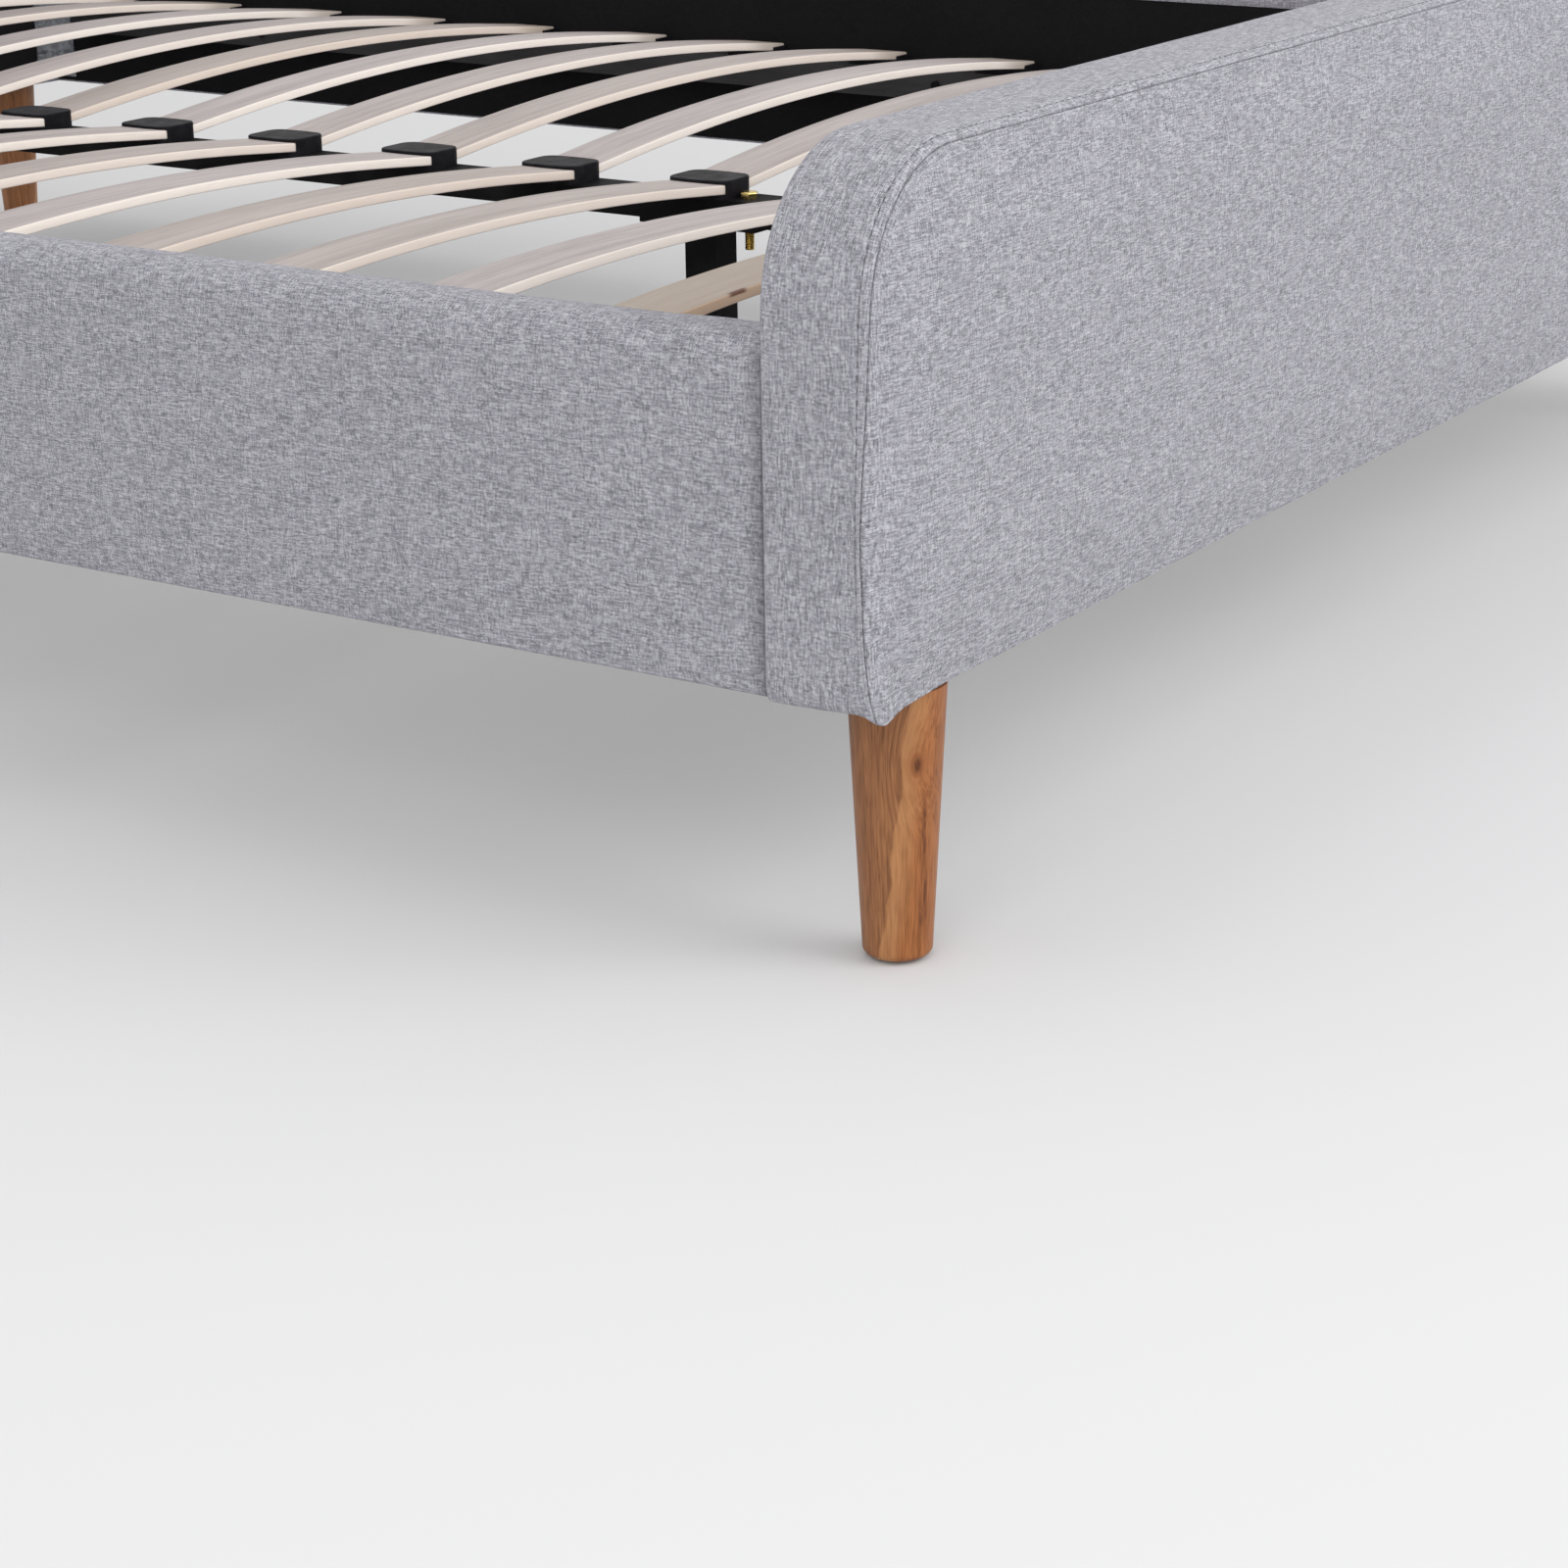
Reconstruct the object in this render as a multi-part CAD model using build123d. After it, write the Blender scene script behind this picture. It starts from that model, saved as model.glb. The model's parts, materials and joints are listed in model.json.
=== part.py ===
from build123d import *
import os
from dataclasses import dataclass
from math import atan2, cos, degrees, hypot, radians, sin, sqrt, tan

# Upholstered slatted bed, in millimetres: X across, Y from foot to head, Z up from the floor.
# The origin is the middle of the footprint, on the floor.

# Mattress well
WELL_W = 1545.0  # clear width between the side rails
WELL_L = 2064.0  # clear length between footboard and headboard

# Cloth, foam and sheet timber
FABRIC_T = 2.0
FOAM_T = 8.0
PANEL_T = 5.0
CORNER_EASE = 1.5  # inner layers have their round corners drawn in by this much more radius

# End boards
BOARD_OVERHANG = 7.5  # the boards stand this far out past the rails
BOARD_BOTTOM = 164.0  # underside of the boards above the floor
FOOT_TOP = 466.0
FOOT_CORNER_R = 88.0
FOOT_FRAME_D = 47.0
HEAD_TOP = 1010.0
HEAD_CORNER_R = 110.0
HEAD_FRAME_D = 64.0
EDGE_R = 10.0  # rounding round the show face
BACK_EDGE_R = 6.0  # rounding round the back
FOAM_STOP = 16.0  # foam on the ends and the top stops this far before the back
CROWN = 5.0  # swell of a padded show face
CROWN_RUN = 60.0  # width over which the swell rises
CROWN_STEPS = ((0.0, 0.0), (0.7, 0.35), (1.0, 1.0))  # shares of swell and of run
HEAD_CROWN_GAP = 12.0  # the headboard swells from this far above the rails
LINING_EDGE = 22.0  # cloth left beside the lining at a board's ends
POST_W = 84.0
BATTEN_H = 46.0
UPRIGHT_W = 60.0
UPRIGHTS = 3

# Side rails
RAIL_BOTTOM = 165.5
RAIL_H = 200.5
RAIL_BOARD_T = 32.0
RAIL_PAD_T = 6.0  # foam-backed cloth on the outside and the top
RAIL_EDGE_R = 16.0
RAIL_INNER_EDGE_R = 6.0
LINING_TOP = 339.0  # show cloth ends and black lining starts on the inner faces

# Sprung slats
SLAT_COUNT = 13
SLAT_END_GAP = 137.8  # from an end board to the middle of the nearest slat
SLAT_W = 53.0
SLAT_T = 8.0
SLAT_EDGE_R = 1.5
SLAT_END_RUN = 60.0  # straight stretch at each end
SLAT_END_ANGLE = 6.3  # slope of the straight ends, in degrees
SLAT_CENTRE_GAP = 8.0  # between a left and a right slat
SLAT_RAIL_GAP = 12.0  # from a slat's outer end to the rail
OUTER_SEAT_Z = 266.5  # underside of a slat's outer end
CENTRE_SEAT_Z = 270.5  # underside of a slat's inner end
SLAT_FIT = 0.4

# Slat ledges and end holders
LEDGE_W = 34.0
LEDGE_H = 30.0
LEDGE_END_GAP = 62.0
HOLDER_T = 5.0  # floor of a holder under the slat's end
HOLDER_LIP = 6.0
HOLDER_WALL = 3.0
HOLDER_L = 24.0
PEG_D = 8.0
PEG_L = 10.0
PEG_FIT = 0.3

# Centre rail, slat caps and hangers
RAIL_TUBE_W = 40.0
RAIL_TUBE_H = 20.0
RAIL_TUBE_WALL = 1.5
RAIL_TUBE_GAP = 4.0  # from the tube's end to the end board
CAP_FLOOR_T = 2.5
CAP_ROOF_T = 2.0
CAP_WALL = 2.5
CAP_W = 47.0
CAP_END_W = 41.0
CAP_CORNER_R = 12.0
CAP_EDGE_R = 1.5
HANGER_T = 3.0
HANGER_W = 48.0
HANGER_SHELF_L = 40.0
HANGER_CHEEK_H = 12.0
HANGER_FIT = 0.5
HANGER_REACH = 34.0  # back plate above and below the tube's middle

# Centre legs and their levelling feet
CENTRE_LEG_W = 30.0
CENTRE_LEG_WALL = 2.0
CENTRE_LEG_BASE_Z = 14.0
LEG_BASE_T = 5.0
LEG_PLATE_T = 4.0
LEG_PLATE_L = 112.0
LEG_BOLT_OFFSET = 38.0
LEG_BOLT_L = 42.0
PAD_D = 36.0
PAD_H = 8.0
STEM_D = 8.0
STEM_L = 26.0
STEM_FIT = 0.08
COLLAR_AF = 14.0

# Turned legs
LEG_TOP_D = 56.5
LEG_FOOT_D = 40.0
LEG_FOOT_R = 4.5
LEG_INSET_X = 75.0
LEG_INSET_Y = 33.0
GLIDE_D = 24.0
GLIDE_T = 2.0
STUD_D = 8.0
STUD_IN_LEG = 40.0
STUD_IN_BOARD = 22.0
STUD_FIT = 0.1
INSERT_D = 12.0
INSERT_L = 18.0

# Corner brackets, bolts and screws
BRACKET_LEG = 34.0
BRACKET_T = 3.0
BRACKET_H = 100.0
BRACKET_ABOVE_RAIL = 57.0  # middle of the bracket above the rail's underside
BOLT_SPACING = 52.0
BOLT_SETBACK = 20.0
BOLT_D = 8.0
BOLT_HEAD_AF = 13.0
BOLT_HEAD_H = 5.3
RAIL_BOLT_L = 30.0
BOARD_BOLT_L = 44.0
HOLE_FIT = 0.4  # radial room round bolts and screws
SCREW_D = 4.5
SCREW_HEAD_D = 9.0
SCREW_HEAD_H = 3.0
SCREW_L = 44.0
SCREW_EVERY = 2  # slat gaps from one ledge screw to the next

# Places worked out from the sizes above
BOARD_LAYERS = 2 * FABRIC_T + FOAM_T + 2 * PANEL_T
FOOT_T = CROWN + BOARD_LAYERS + FOOT_FRAME_D
HEAD_T = BOARD_LAYERS + HEAD_FRAME_D
LENGTH = FOOT_T + WELL_L + HEAD_T
FOOT_INNER_Y = FOOT_T - LENGTH / 2
HEAD_INNER_Y = LENGTH / 2 - HEAD_T
RAIL_IN = WELL_W / 2
RAIL_OUT = RAIL_IN + FABRIC_T + RAIL_BOARD_T + RAIL_PAD_T
RAIL_TOP = RAIL_BOTTOM + RAIL_H
BOARD_HALF_W = RAIL_OUT + BOARD_OVERHANG
CORE_INSET = FABRIC_T + FOAM_T
CORE_BOTTOM = BOARD_BOTTOM + FABRIC_T
LINING_BOTTOM = BOARD_BOTTOM + EDGE_R
FIRST_SLAT_Y = FOOT_INNER_Y + SLAT_END_GAP
SLAT_PITCH = (WELL_L - 2 * SLAT_END_GAP) / (SLAT_COUNT - 1)
SLAT_IN = SLAT_CENTRE_GAP / 2
SLAT_OUT = RAIL_IN - SLAT_RAIL_GAP
LEDGE_TOP = OUTER_SEAT_Z - HOLDER_T
TUBE_TOP = CENTRE_SEAT_Z - CAP_FLOOR_T
TUBE_BOTTOM = TUBE_TOP - RAIL_TUBE_H
LEG_X = BOARD_HALF_W - LEG_INSET_X
LEG_Y = LENGTH / 2 - LEG_INSET_Y


def box_between(low, high):
    """Box from its lowest corner to its highest corner."""
    middle = [(a + b) / 2 for a, b in zip(low, high)]
    size = [b - a for a, b in zip(low, high)]
    return Pos(*middle) * Box(*size)


def rod(radius, z_low, z_high):
    """Upright round bar on the Z axis."""
    return Pos(0, 0, (z_low + z_high) / 2) * Cylinder(radius, z_high - z_low)


def group(pieces):
    """Separate solids kept together under one name."""
    return Compound(children=[solid for piece in pieces for solid in piece.solids()])


def outline(half_w, bottom, top, corner_r, y):
    """Face of a board on a plane across the bed: square below, round upper corners."""
    inner = half_w - corner_r
    side_top = top - corner_r
    bend = corner_r * sqrt(0.5)
    edges = [
        Line((-half_w, bottom), (half_w, bottom)),
        Line((half_w, bottom), (half_w, side_top)),
        ThreePointArc((half_w, side_top), (inner + bend, side_top + bend), (inner, top)),
        Line((inner, top), (-inner, top)),
        ThreePointArc((-inner, top), (-inner - bend, side_top + bend), (-half_w, side_top)),
        Line((-half_w, side_top), (-half_w, bottom)),
    ]
    return Plane.XZ.offset(-y) * make_face(edges)


@dataclass
class Board:
    """Planes of one end board's layers, from its show face at -Y to its back."""

    face_y: float
    frame_depth: float
    top: float
    corner_r: float
    crown_bottom: float

    @property
    def foam_y(self):
        return self.face_y + FABRIC_T

    @property
    def panel_y(self):
        return self.foam_y + FOAM_T

    @property
    def frame_y(self):
        return self.panel_y + PANEL_T

    @property
    def rear_panel_y(self):
        return self.frame_y + self.frame_depth

    @property
    def core_back_y(self):
        return self.rear_panel_y + PANEL_T

    @property
    def back_y(self):
        return self.core_back_y + FABRIC_T

    def layer(self, inset, y_low, y_high, ease=0.0):
        """Slab of the board's outline drawn in by inset, between two planes."""
        bottom = BOARD_BOTTOM + min(inset, FABRIC_T)
        radius = self.corner_r - inset + ease
        face = outline(BOARD_HALF_W - inset, bottom, self.top - inset, radius, y_high)
        return extrude(face, amount=y_high - y_low, dir=(0, -1, 0))


FOOT = Board(CROWN - LENGTH / 2, FOOT_FRAME_D, FOOT_TOP, FOOT_CORNER_R, BOARD_BOTTOM)
HEAD = Board(HEAD_INNER_Y, HEAD_FRAME_D, HEAD_TOP, HEAD_CORNER_R, RAIL_TOP + HEAD_CROWN_GAP)


def slat_y(row):
    """Middle of a slat row along the bed."""
    return FIRST_SLAT_Y + row * SLAT_PITCH


def hex_bolt(length):
    """Hexagon bolt with its head above Z 0 and its shank below."""
    head = extrude(RegularPolygon(BOLT_HEAD_AF / sqrt(3), 6), amount=BOLT_HEAD_H)
    return head + rod(BOLT_D / 2, -length, 0)


def pan_screw():
    """Pan-head wood screw with its head above Z 0 and its shank below."""
    return rod(SCREW_HEAD_D / 2, 0, SCREW_HEAD_H) + rod(SCREW_D / 2, -SCREW_L, 0)


def corner_bolt_places():
    """Seat plane and length of each corner bolt, with Z out of the bolt's head."""
    middle_z = RAIL_BOTTOM + BRACKET_ABOVE_RAIL
    places = []
    for side in (-1, 1):
        for face_y, inward in ((FOOT_INNER_Y, 1), (HEAD_INNER_Y, -1)):
            for z in (middle_z - BOLT_SPACING / 2, middle_z + BOLT_SPACING / 2):
                on_rail = (side * (RAIL_IN - BRACKET_T), face_y + inward * BOLT_SETBACK, z)
                on_board = (side * (RAIL_IN - BOLT_SETBACK), face_y + inward * BRACKET_T, z)
                places.append((Plane(on_rail, z_dir=(-side, 0, 0)), RAIL_BOLT_L))
                places.append((Plane(on_board, z_dir=(0, inward, 0)), BOARD_BOLT_L))
    return places


def screw_places():
    """Seat plane of each wood screw in the ledges and the hangers."""
    seats = []
    for side in (-1, 1):
        for row in range(0, SLAT_COUNT - 1, SCREW_EVERY):
            seat = (side * (RAIL_IN - LEDGE_W), slat_y(row + 0.5), LEDGE_TOP - LEDGE_H / 2)
            seats.append(Plane(seat, z_dir=(-side, 0, 0)))
    middle_z = TUBE_TOP - RAIL_TUBE_H / 2
    drop = HANGER_REACH - SCREW_HEAD_D
    for face_y, inward in ((FOOT_INNER_Y, 1), (HEAD_INNER_Y, -1)):
        for z in (middle_z - drop, middle_z + drop):
            seats.append(Plane((0, face_y + inward * HANGER_T, z), z_dir=(0, inward, 0)))
    return seats


def fastener_holes():
    """Room for every corner bolt and wood screw, to be cut from what they pass through."""
    bolts = [p * rod(BOLT_D / 2 + HOLE_FIT, -n - HOLE_FIT, 0) for p, n in corner_bolt_places()]
    screws = [p * rod(SCREW_D / 2 + HOLE_FIT, -SCREW_L - HOLE_FIT, 0) for p in screw_places()]
    return bolts + screws


def leg_places():
    """Name and floor point of each turned leg."""
    return {
        f"{end}_{side}_leg": Pos(x * LEG_X, y * LEG_Y, 0)
        for end, y in (("foot", -1), ("head", 1))
        for side, x in (("left", -1), ("right", 1))
    }


def stud_holes(radius, z_high):
    """Room for the leg studs, up to a height."""
    return [place * rod(radius, 0, z_high) for place in leg_places().values()]


def crown(board):
    """Shallow swell on a board's show face, rising in steps through its outlines."""
    sections = []
    for height, run in CROWN_STEPS:
        inset = EDGE_R + run * CROWN_RUN
        radius = max(board.corner_r - inset, EDGE_R)
        bottom = board.crown_bottom + inset
        y = board.face_y - height * CROWN
        sections.append(outline(BOARD_HALF_W - inset, bottom, board.top - inset, radius, y))
    return loft(sections, ruled=True)


def foam_block(board, ease=0.0):
    """Space that a board's foam and core fill under the cloth."""
    block = board.layer(FABRIC_T, board.foam_y, board.back_y - FOAM_STOP, ease)
    front = block.edges().group_by(Axis.Y)[0]
    return fillet(front, EDGE_R - FABRIC_T + ease)


def core_block(board, ease=0.0):
    """Space of a board's timber core."""
    return board.layer(CORE_INSET, board.panel_y, board.core_back_y, ease)


def lining_block(y_low):
    """Black lining on the lower inner face of a board."""
    half_w = BOARD_HALF_W - LINING_EDGE
    return box_between((-half_w, y_low, LINING_BOTTOM), (half_w, y_low + FABRIC_T, LINING_TOP))


def packer_block():
    """Board behind the headboard's lining, where the rails butt, in place of foam."""
    half_w = BOARD_HALF_W - CORE_INSET
    return box_between((-half_w, HEAD.foam_y, LINING_BOTTOM), (half_w, HEAD.panel_y, LINING_TOP))


def board_cover(board, lining):
    """Sewn cloth cover of a board with its swelled show face."""
    skin = board.layer(0, board.face_y, board.back_y)
    skin = fillet(skin.edges().group_by(Axis.Y)[0], EDGE_R)
    skin = fillet(skin.edges().group_by(Axis.Y)[-1].sort_by(Axis.Z)[1:], BACK_EDGE_R)
    skin += crown(board)
    inside = [foam_block(board), core_block(board), lining]
    return skin - inside - stud_holes(STUD_D / 2 + HOLE_FIT, CORE_BOTTOM)


def board_foam(board):
    """Foam over a board's show face, ends and top."""
    return foam_block(board, CORNER_EASE) - core_block(board)


def board_panels(board, holes):
    """Front and back sheets of a board's timber core."""
    front = board.layer(CORE_INSET, board.panel_y, board.frame_y, CORNER_EASE)
    back = board.layer(CORE_INSET, board.rear_panel_y, board.core_back_y, CORNER_EASE)
    return group([front - holes, back - holes])


def board_frame(board, holes):
    """Battens between a board's two sheets: rails, end posts and uprights."""
    y_low, y_high = board.frame_y, board.rear_panel_y
    half_w = BOARD_HALF_W - CORE_INSET
    low = CORE_BOTTOM + BATTEN_H
    high = board.top - CORE_INSET - BATTEN_H
    spans = [(-half_w, half_w, CORE_BOTTOM, low), (-half_w, half_w, high, high + BATTEN_H)]
    spans += [(-half_w, POST_W - half_w, low, high), (half_w - POST_W, half_w, low, high)]
    step = 2 * (half_w - POST_W) / (UPRIGHTS + 1)
    for number in range(UPRIGHTS):
        x = (number + 1) * step - (half_w - POST_W)
        spans.append((x - UPRIGHT_W / 2, x + UPRIGHT_W / 2, low, high))
    core = board.layer(CORE_INSET, y_low, y_high, CORNER_EASE)
    sockets = stud_holes(INSERT_D / 2 + STUD_FIT, BOARD_BOTTOM + STUD_IN_BOARD + HOLE_FIT)
    bars = [box_between((x0, y_low, z0), (x1, y_high, z1)) for x0, x1, z0, z1 in spans]
    return [(bar & core) - sockets - holes for bar in bars]


def rail_board_block():
    """Timber of the right-hand rail."""
    low = (RAIL_IN + FABRIC_T, FOOT_INNER_Y, RAIL_BOTTOM + FABRIC_T)
    return box_between(low, (RAIL_OUT - RAIL_PAD_T, HEAD_INNER_Y, RAIL_TOP - RAIL_PAD_T))


def rail_lining_block():
    """Black lining on the inner face of the right-hand rail."""
    low = (RAIL_IN, FOOT_INNER_Y, RAIL_BOTTOM + FABRIC_T)
    return box_between(low, (RAIL_IN + FABRIC_T, HEAD_INNER_Y, LINING_TOP))


def rail_cover():
    """Cloth of the right-hand rail: outside, over the top and a little way down inside."""
    low = (RAIL_IN, FOOT_INNER_Y, RAIL_BOTTOM)
    skin = box_between(low, (RAIL_OUT, HEAD_INNER_Y, RAIL_TOP))
    along_top = skin.edges().filter_by(Axis.Y).group_by(Axis.Z)[-1].sort_by(Axis.X)
    skin = fillet(along_top[0], RAIL_INNER_EDGE_R)
    along_top = skin.edges().filter_by(Axis.Y).sort_by(Axis.X)[-2:].sort_by(Axis.Z)
    skin = fillet(along_top[-1], RAIL_EDGE_R)
    return skin - rail_board_block() - rail_lining_block()


def slat_blank(width, thickness, overrun=0.0):
    """Bowed right-hand slat with straight ends, its middle on Y 0."""
    slope = radians(SLAT_END_ANGLE)
    fall = CENTRE_SEAT_Z - OUTER_SEAT_Z
    chord = hypot(SLAT_OUT - SLAT_IN, fall)
    run_x, run_z = SLAT_END_RUN * cos(slope), SLAT_END_RUN * sin(slope)
    bow = run_z + (chord / 2 - run_x) * tan(slope / 2)
    spare_x, spare_z = overrun * cos(slope), overrun * sin(slope)
    off_x, off_z = thickness * sin(slope), thickness * cos(slope)
    under = [(-spare_x, -spare_z), (run_x, run_z), (chord - run_x, run_z), (chord + spare_x, -spare_z)]
    over = [(x - off_x if x < chord / 2 else x + off_x, z + off_z) for x, z in under]
    edges = []
    for line, middle_z in ((under, bow), (over, bow + thickness)):
        edges.append(Line(line[0], line[1]))
        edges.append(ThreePointArc(line[1], (chord / 2, middle_z), line[2]))
        edges.append(Line(line[2], line[3]))
    edges.append(Line(under[0], over[0]))
    edges.append(Line(under[3], over[3]))
    face = Plane.XZ * make_face(edges)
    blank = extrude(face, amount=width / 2, both=True)
    tilt = degrees(atan2(fall, SLAT_OUT - SLAT_IN))
    return Pos(SLAT_IN, 0, CENTRE_SEAT_Z) * Rot(0, tilt, 0) * blank


def slat():
    """Right-hand slat with its long edges rounded."""
    blank = slat_blank(SLAT_W, SLAT_T)
    by_side = blank.edges().group_by(Axis.Y)
    long_edges = [edge for edge in by_side[0] + by_side[-1] if edge.length > 2 * SLAT_T]
    return fillet(long_edges, SLAT_EDGE_R)


def slat_space():
    """Room that a slat's end takes in a cap or a holder."""
    return slat_blank(SLAT_W + 2 * SLAT_FIT, SLAT_T + SLAT_FIT, SLAT_FIT)


def slat_cap():
    """Double cap over the inner ends of a left and a right slat, at Y 0."""
    half_l = SLAT_W / 2 + CAP_WALL
    end, mid = CAP_END_W / 2, CAP_W / 2
    edges = [
        Line((-end, -half_l), (end, -half_l)),
        ThreePointArc((end, -half_l), (mid, 0), (end, half_l)),
        Line((end, half_l), (-end, half_l)),
        ThreePointArc((-end, half_l), (-mid, 0), (-end, -half_l)),
    ]
    face = make_face(edges)
    face = fillet(face.vertices(), CAP_CORNER_R)
    rise = SLAT_T / cos(radians(SLAT_END_ANGLE)) + mid * tan(radians(SLAT_END_ANGLE))
    height = CAP_FLOOR_T + rise + CAP_ROOF_T
    cap = extrude(face, amount=height)
    cap = fillet(cap.edges().group_by(Axis.Z)[-1], CAP_EDGE_R)
    cap = Pos(0, 0, TUBE_TOP) * cap
    right = slat_space()
    return cap - right - mirror(right, about=Plane.YZ) + rod(PEG_D / 2, TUBE_TOP - PEG_L, TUBE_TOP)


def slat_holder():
    """Shoe on the right-hand ledge that a slat's outer end rests in, at Y 0."""
    half_w = SLAT_W / 2 + SLAT_FIT + HOLDER_WALL
    x_out = SLAT_OUT + SLAT_FIT + HOLDER_WALL
    top = OUTER_SEAT_Z + HOLDER_LIP
    shoe = box_between((x_out - HOLDER_L, -half_w, LEDGE_TOP), (x_out, half_w, top))
    peg = Pos(x_out - HOLDER_L / 2, 0, 0) * rod(PEG_D / 2, LEDGE_TOP - PEG_L, LEDGE_TOP)
    return shoe - slat_space() + peg


def slat_ledge(holes):
    """Batten along the right-hand rail that carries the holders."""
    y_low, y_high = FOOT_INNER_Y + LEDGE_END_GAP, HEAD_INNER_Y - LEDGE_END_GAP
    low = (RAIL_IN - LEDGE_W, y_low, LEDGE_TOP - LEDGE_H)
    ledge = box_between(low, (RAIL_IN, y_high, LEDGE_TOP))
    peg_x = SLAT_OUT + SLAT_FIT + HOLDER_WALL - HOLDER_L / 2
    hole = rod(PEG_D / 2 + PEG_FIT, LEDGE_TOP - PEG_L - PEG_FIT, LEDGE_TOP)
    pegs = [Pos(peg_x, slat_y(row), 0) * hole for row in range(SLAT_COUNT)]
    return ledge - pegs - holes


def centre_leg_places():
    """Name and floor point of each centre leg, under the slats at the quarters."""
    rows = {"front": SLAT_COUNT // 4, "rear": 3 * SLAT_COUNT // 4}
    return {name: Pos(0, slat_y(row), 0) for name, row in rows.items()}


def leg_bolt_places():
    """Point on top of the centre rail under each leg bolt's head."""
    offsets = [Pos(0, side * LEG_BOLT_OFFSET, TUBE_TOP) for side in (-1, 1)]
    return [place * offset for place in centre_leg_places().values() for offset in offsets]


def centre_rail():
    """Steel tube along the middle, pierced for the cap pegs and the leg bolts."""
    half_w = RAIL_TUBE_W / 2
    y_low, y_high = FOOT_INNER_Y + RAIL_TUBE_GAP, HEAD_INNER_Y - RAIL_TUBE_GAP
    tube = box_between((-half_w, y_low, TUBE_BOTTOM), (half_w, y_high, TUBE_TOP))
    wall = RAIL_TUBE_WALL
    bore = box_between(
        (wall - half_w, y_low, TUBE_BOTTOM + wall), (half_w - wall, y_high, TUBE_TOP - wall)
    )
    peg = rod(PEG_D / 2 + PEG_FIT, TUBE_TOP - wall, TUBE_TOP)
    pegs = [Pos(0, slat_y(row), 0) * peg for row in range(SLAT_COUNT)]
    bolt = rod(BOLT_D / 2 + HOLE_FIT, -RAIL_TUBE_H, 0)
    bolts = [place * bolt for place in leg_bolt_places()]
    return tube - bore - pegs - bolts


def rail_hanger(face_y, inward, holes):
    """Steel seat on an end board that one end of the centre rail drops into."""
    middle_z = TUBE_TOP - RAIL_TUBE_H / 2
    inner = RAIL_TUBE_W / 2 + HANGER_FIT
    outer = inner + HANGER_T

    def piece(half_w, reach, z_low, z_high):
        """Flat part of the seat, from the board out into the well."""
        y_low, y_high = sorted((face_y, face_y + inward * reach))
        return box_between((-half_w, y_low, z_low), (half_w, y_high, z_high))

    plate = piece(HANGER_W / 2, HANGER_T, middle_z - HANGER_REACH, middle_z + HANGER_REACH)
    tray = piece(outer, HANGER_SHELF_L, TUBE_BOTTOM - HANGER_T, TUBE_BOTTOM + HANGER_CHEEK_H)
    room = piece(inner, HANGER_SHELF_L, TUBE_BOTTOM, TUBE_BOTTOM + HANGER_CHEEK_H)
    return plate + (tray - room) - holes


def centre_leg():
    """Square steel leg with a bolting plate on top and a tapped plate below, at Y 0."""
    half_w = CENTRE_LEG_W / 2
    plate_z = TUBE_BOTTOM - LEG_PLATE_T
    tube = box_between((-half_w, -half_w, CENTRE_LEG_BASE_Z), (half_w, half_w, plate_z))
    inner = half_w - CENTRE_LEG_WALL
    bore = box_between((-inner, -inner, CENTRE_LEG_BASE_Z + LEG_BASE_T), (inner, inner, plate_z))
    plate_low = (-RAIL_TUBE_W / 2, -LEG_PLATE_L / 2, plate_z)
    plate = box_between(plate_low, (RAIL_TUBE_W / 2, LEG_PLATE_L / 2, TUBE_BOTTOM))
    hole = rod(BOLT_D / 2 + HOLE_FIT, plate_z, TUBE_BOTTOM)
    holes = [Pos(0, side * LEG_BOLT_OFFSET, 0) * hole for side in (-1, 1)]
    thread = rod(STEM_D / 2 + STEM_FIT, CENTRE_LEG_BASE_Z, CENTRE_LEG_BASE_Z + LEG_BASE_T)
    return tube - bore + plate - holes - thread


def levelling_foot():
    """Round pad with a hexagon collar and a threaded stem, at Y 0."""
    pad = fillet(rod(PAD_D / 2, 0, PAD_H).edges().group_by(Axis.Z)[-1], PAD_H / 4)
    collar = extrude(RegularPolygon(COLLAR_AF / sqrt(3), 6), amount=CENTRE_LEG_BASE_Z - PAD_H)
    stem = rod(STEM_D / 2, CENTRE_LEG_BASE_Z, CENTRE_LEG_BASE_Z + STEM_L)
    return pad + Pos(0, 0, PAD_H) * collar + stem


def turned_leg():
    """Round tapered leg with a rounded foot and a bore for its stud."""
    foot_r, top_r = LEG_FOOT_D / 2, LEG_TOP_D / 2
    profile = Polyline(
        (0, GLIDE_T), (foot_r, GLIDE_T), (top_r, BOARD_BOTTOM), (0, BOARD_BOTTOM), close=True
    )
    leg = revolve(Plane.XZ * make_face(profile), Axis.Z)
    leg = fillet(leg.edges().group_by(Axis.Z)[0], LEG_FOOT_R)
    bore = rod(STUD_D / 2 + STUD_FIT, BOARD_BOTTOM - STUD_IN_LEG - STUD_FIT, BOARD_BOTTOM)
    return leg - bore


def leg_stud():
    """Threaded stud that joins a leg to its board."""
    return rod(STUD_D / 2, BOARD_BOTTOM - STUD_IN_LEG, BOARD_BOTTOM + STUD_IN_BOARD)


def leg_insert():
    """Threaded sleeve in a board's bottom batten."""
    sleeve = rod(INSERT_D / 2, CORE_BOTTOM, CORE_BOTTOM + INSERT_L)
    return sleeve - rod(STUD_D / 2 + STUD_FIT, CORE_BOTTOM, CORE_BOTTOM + INSERT_L)


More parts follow.
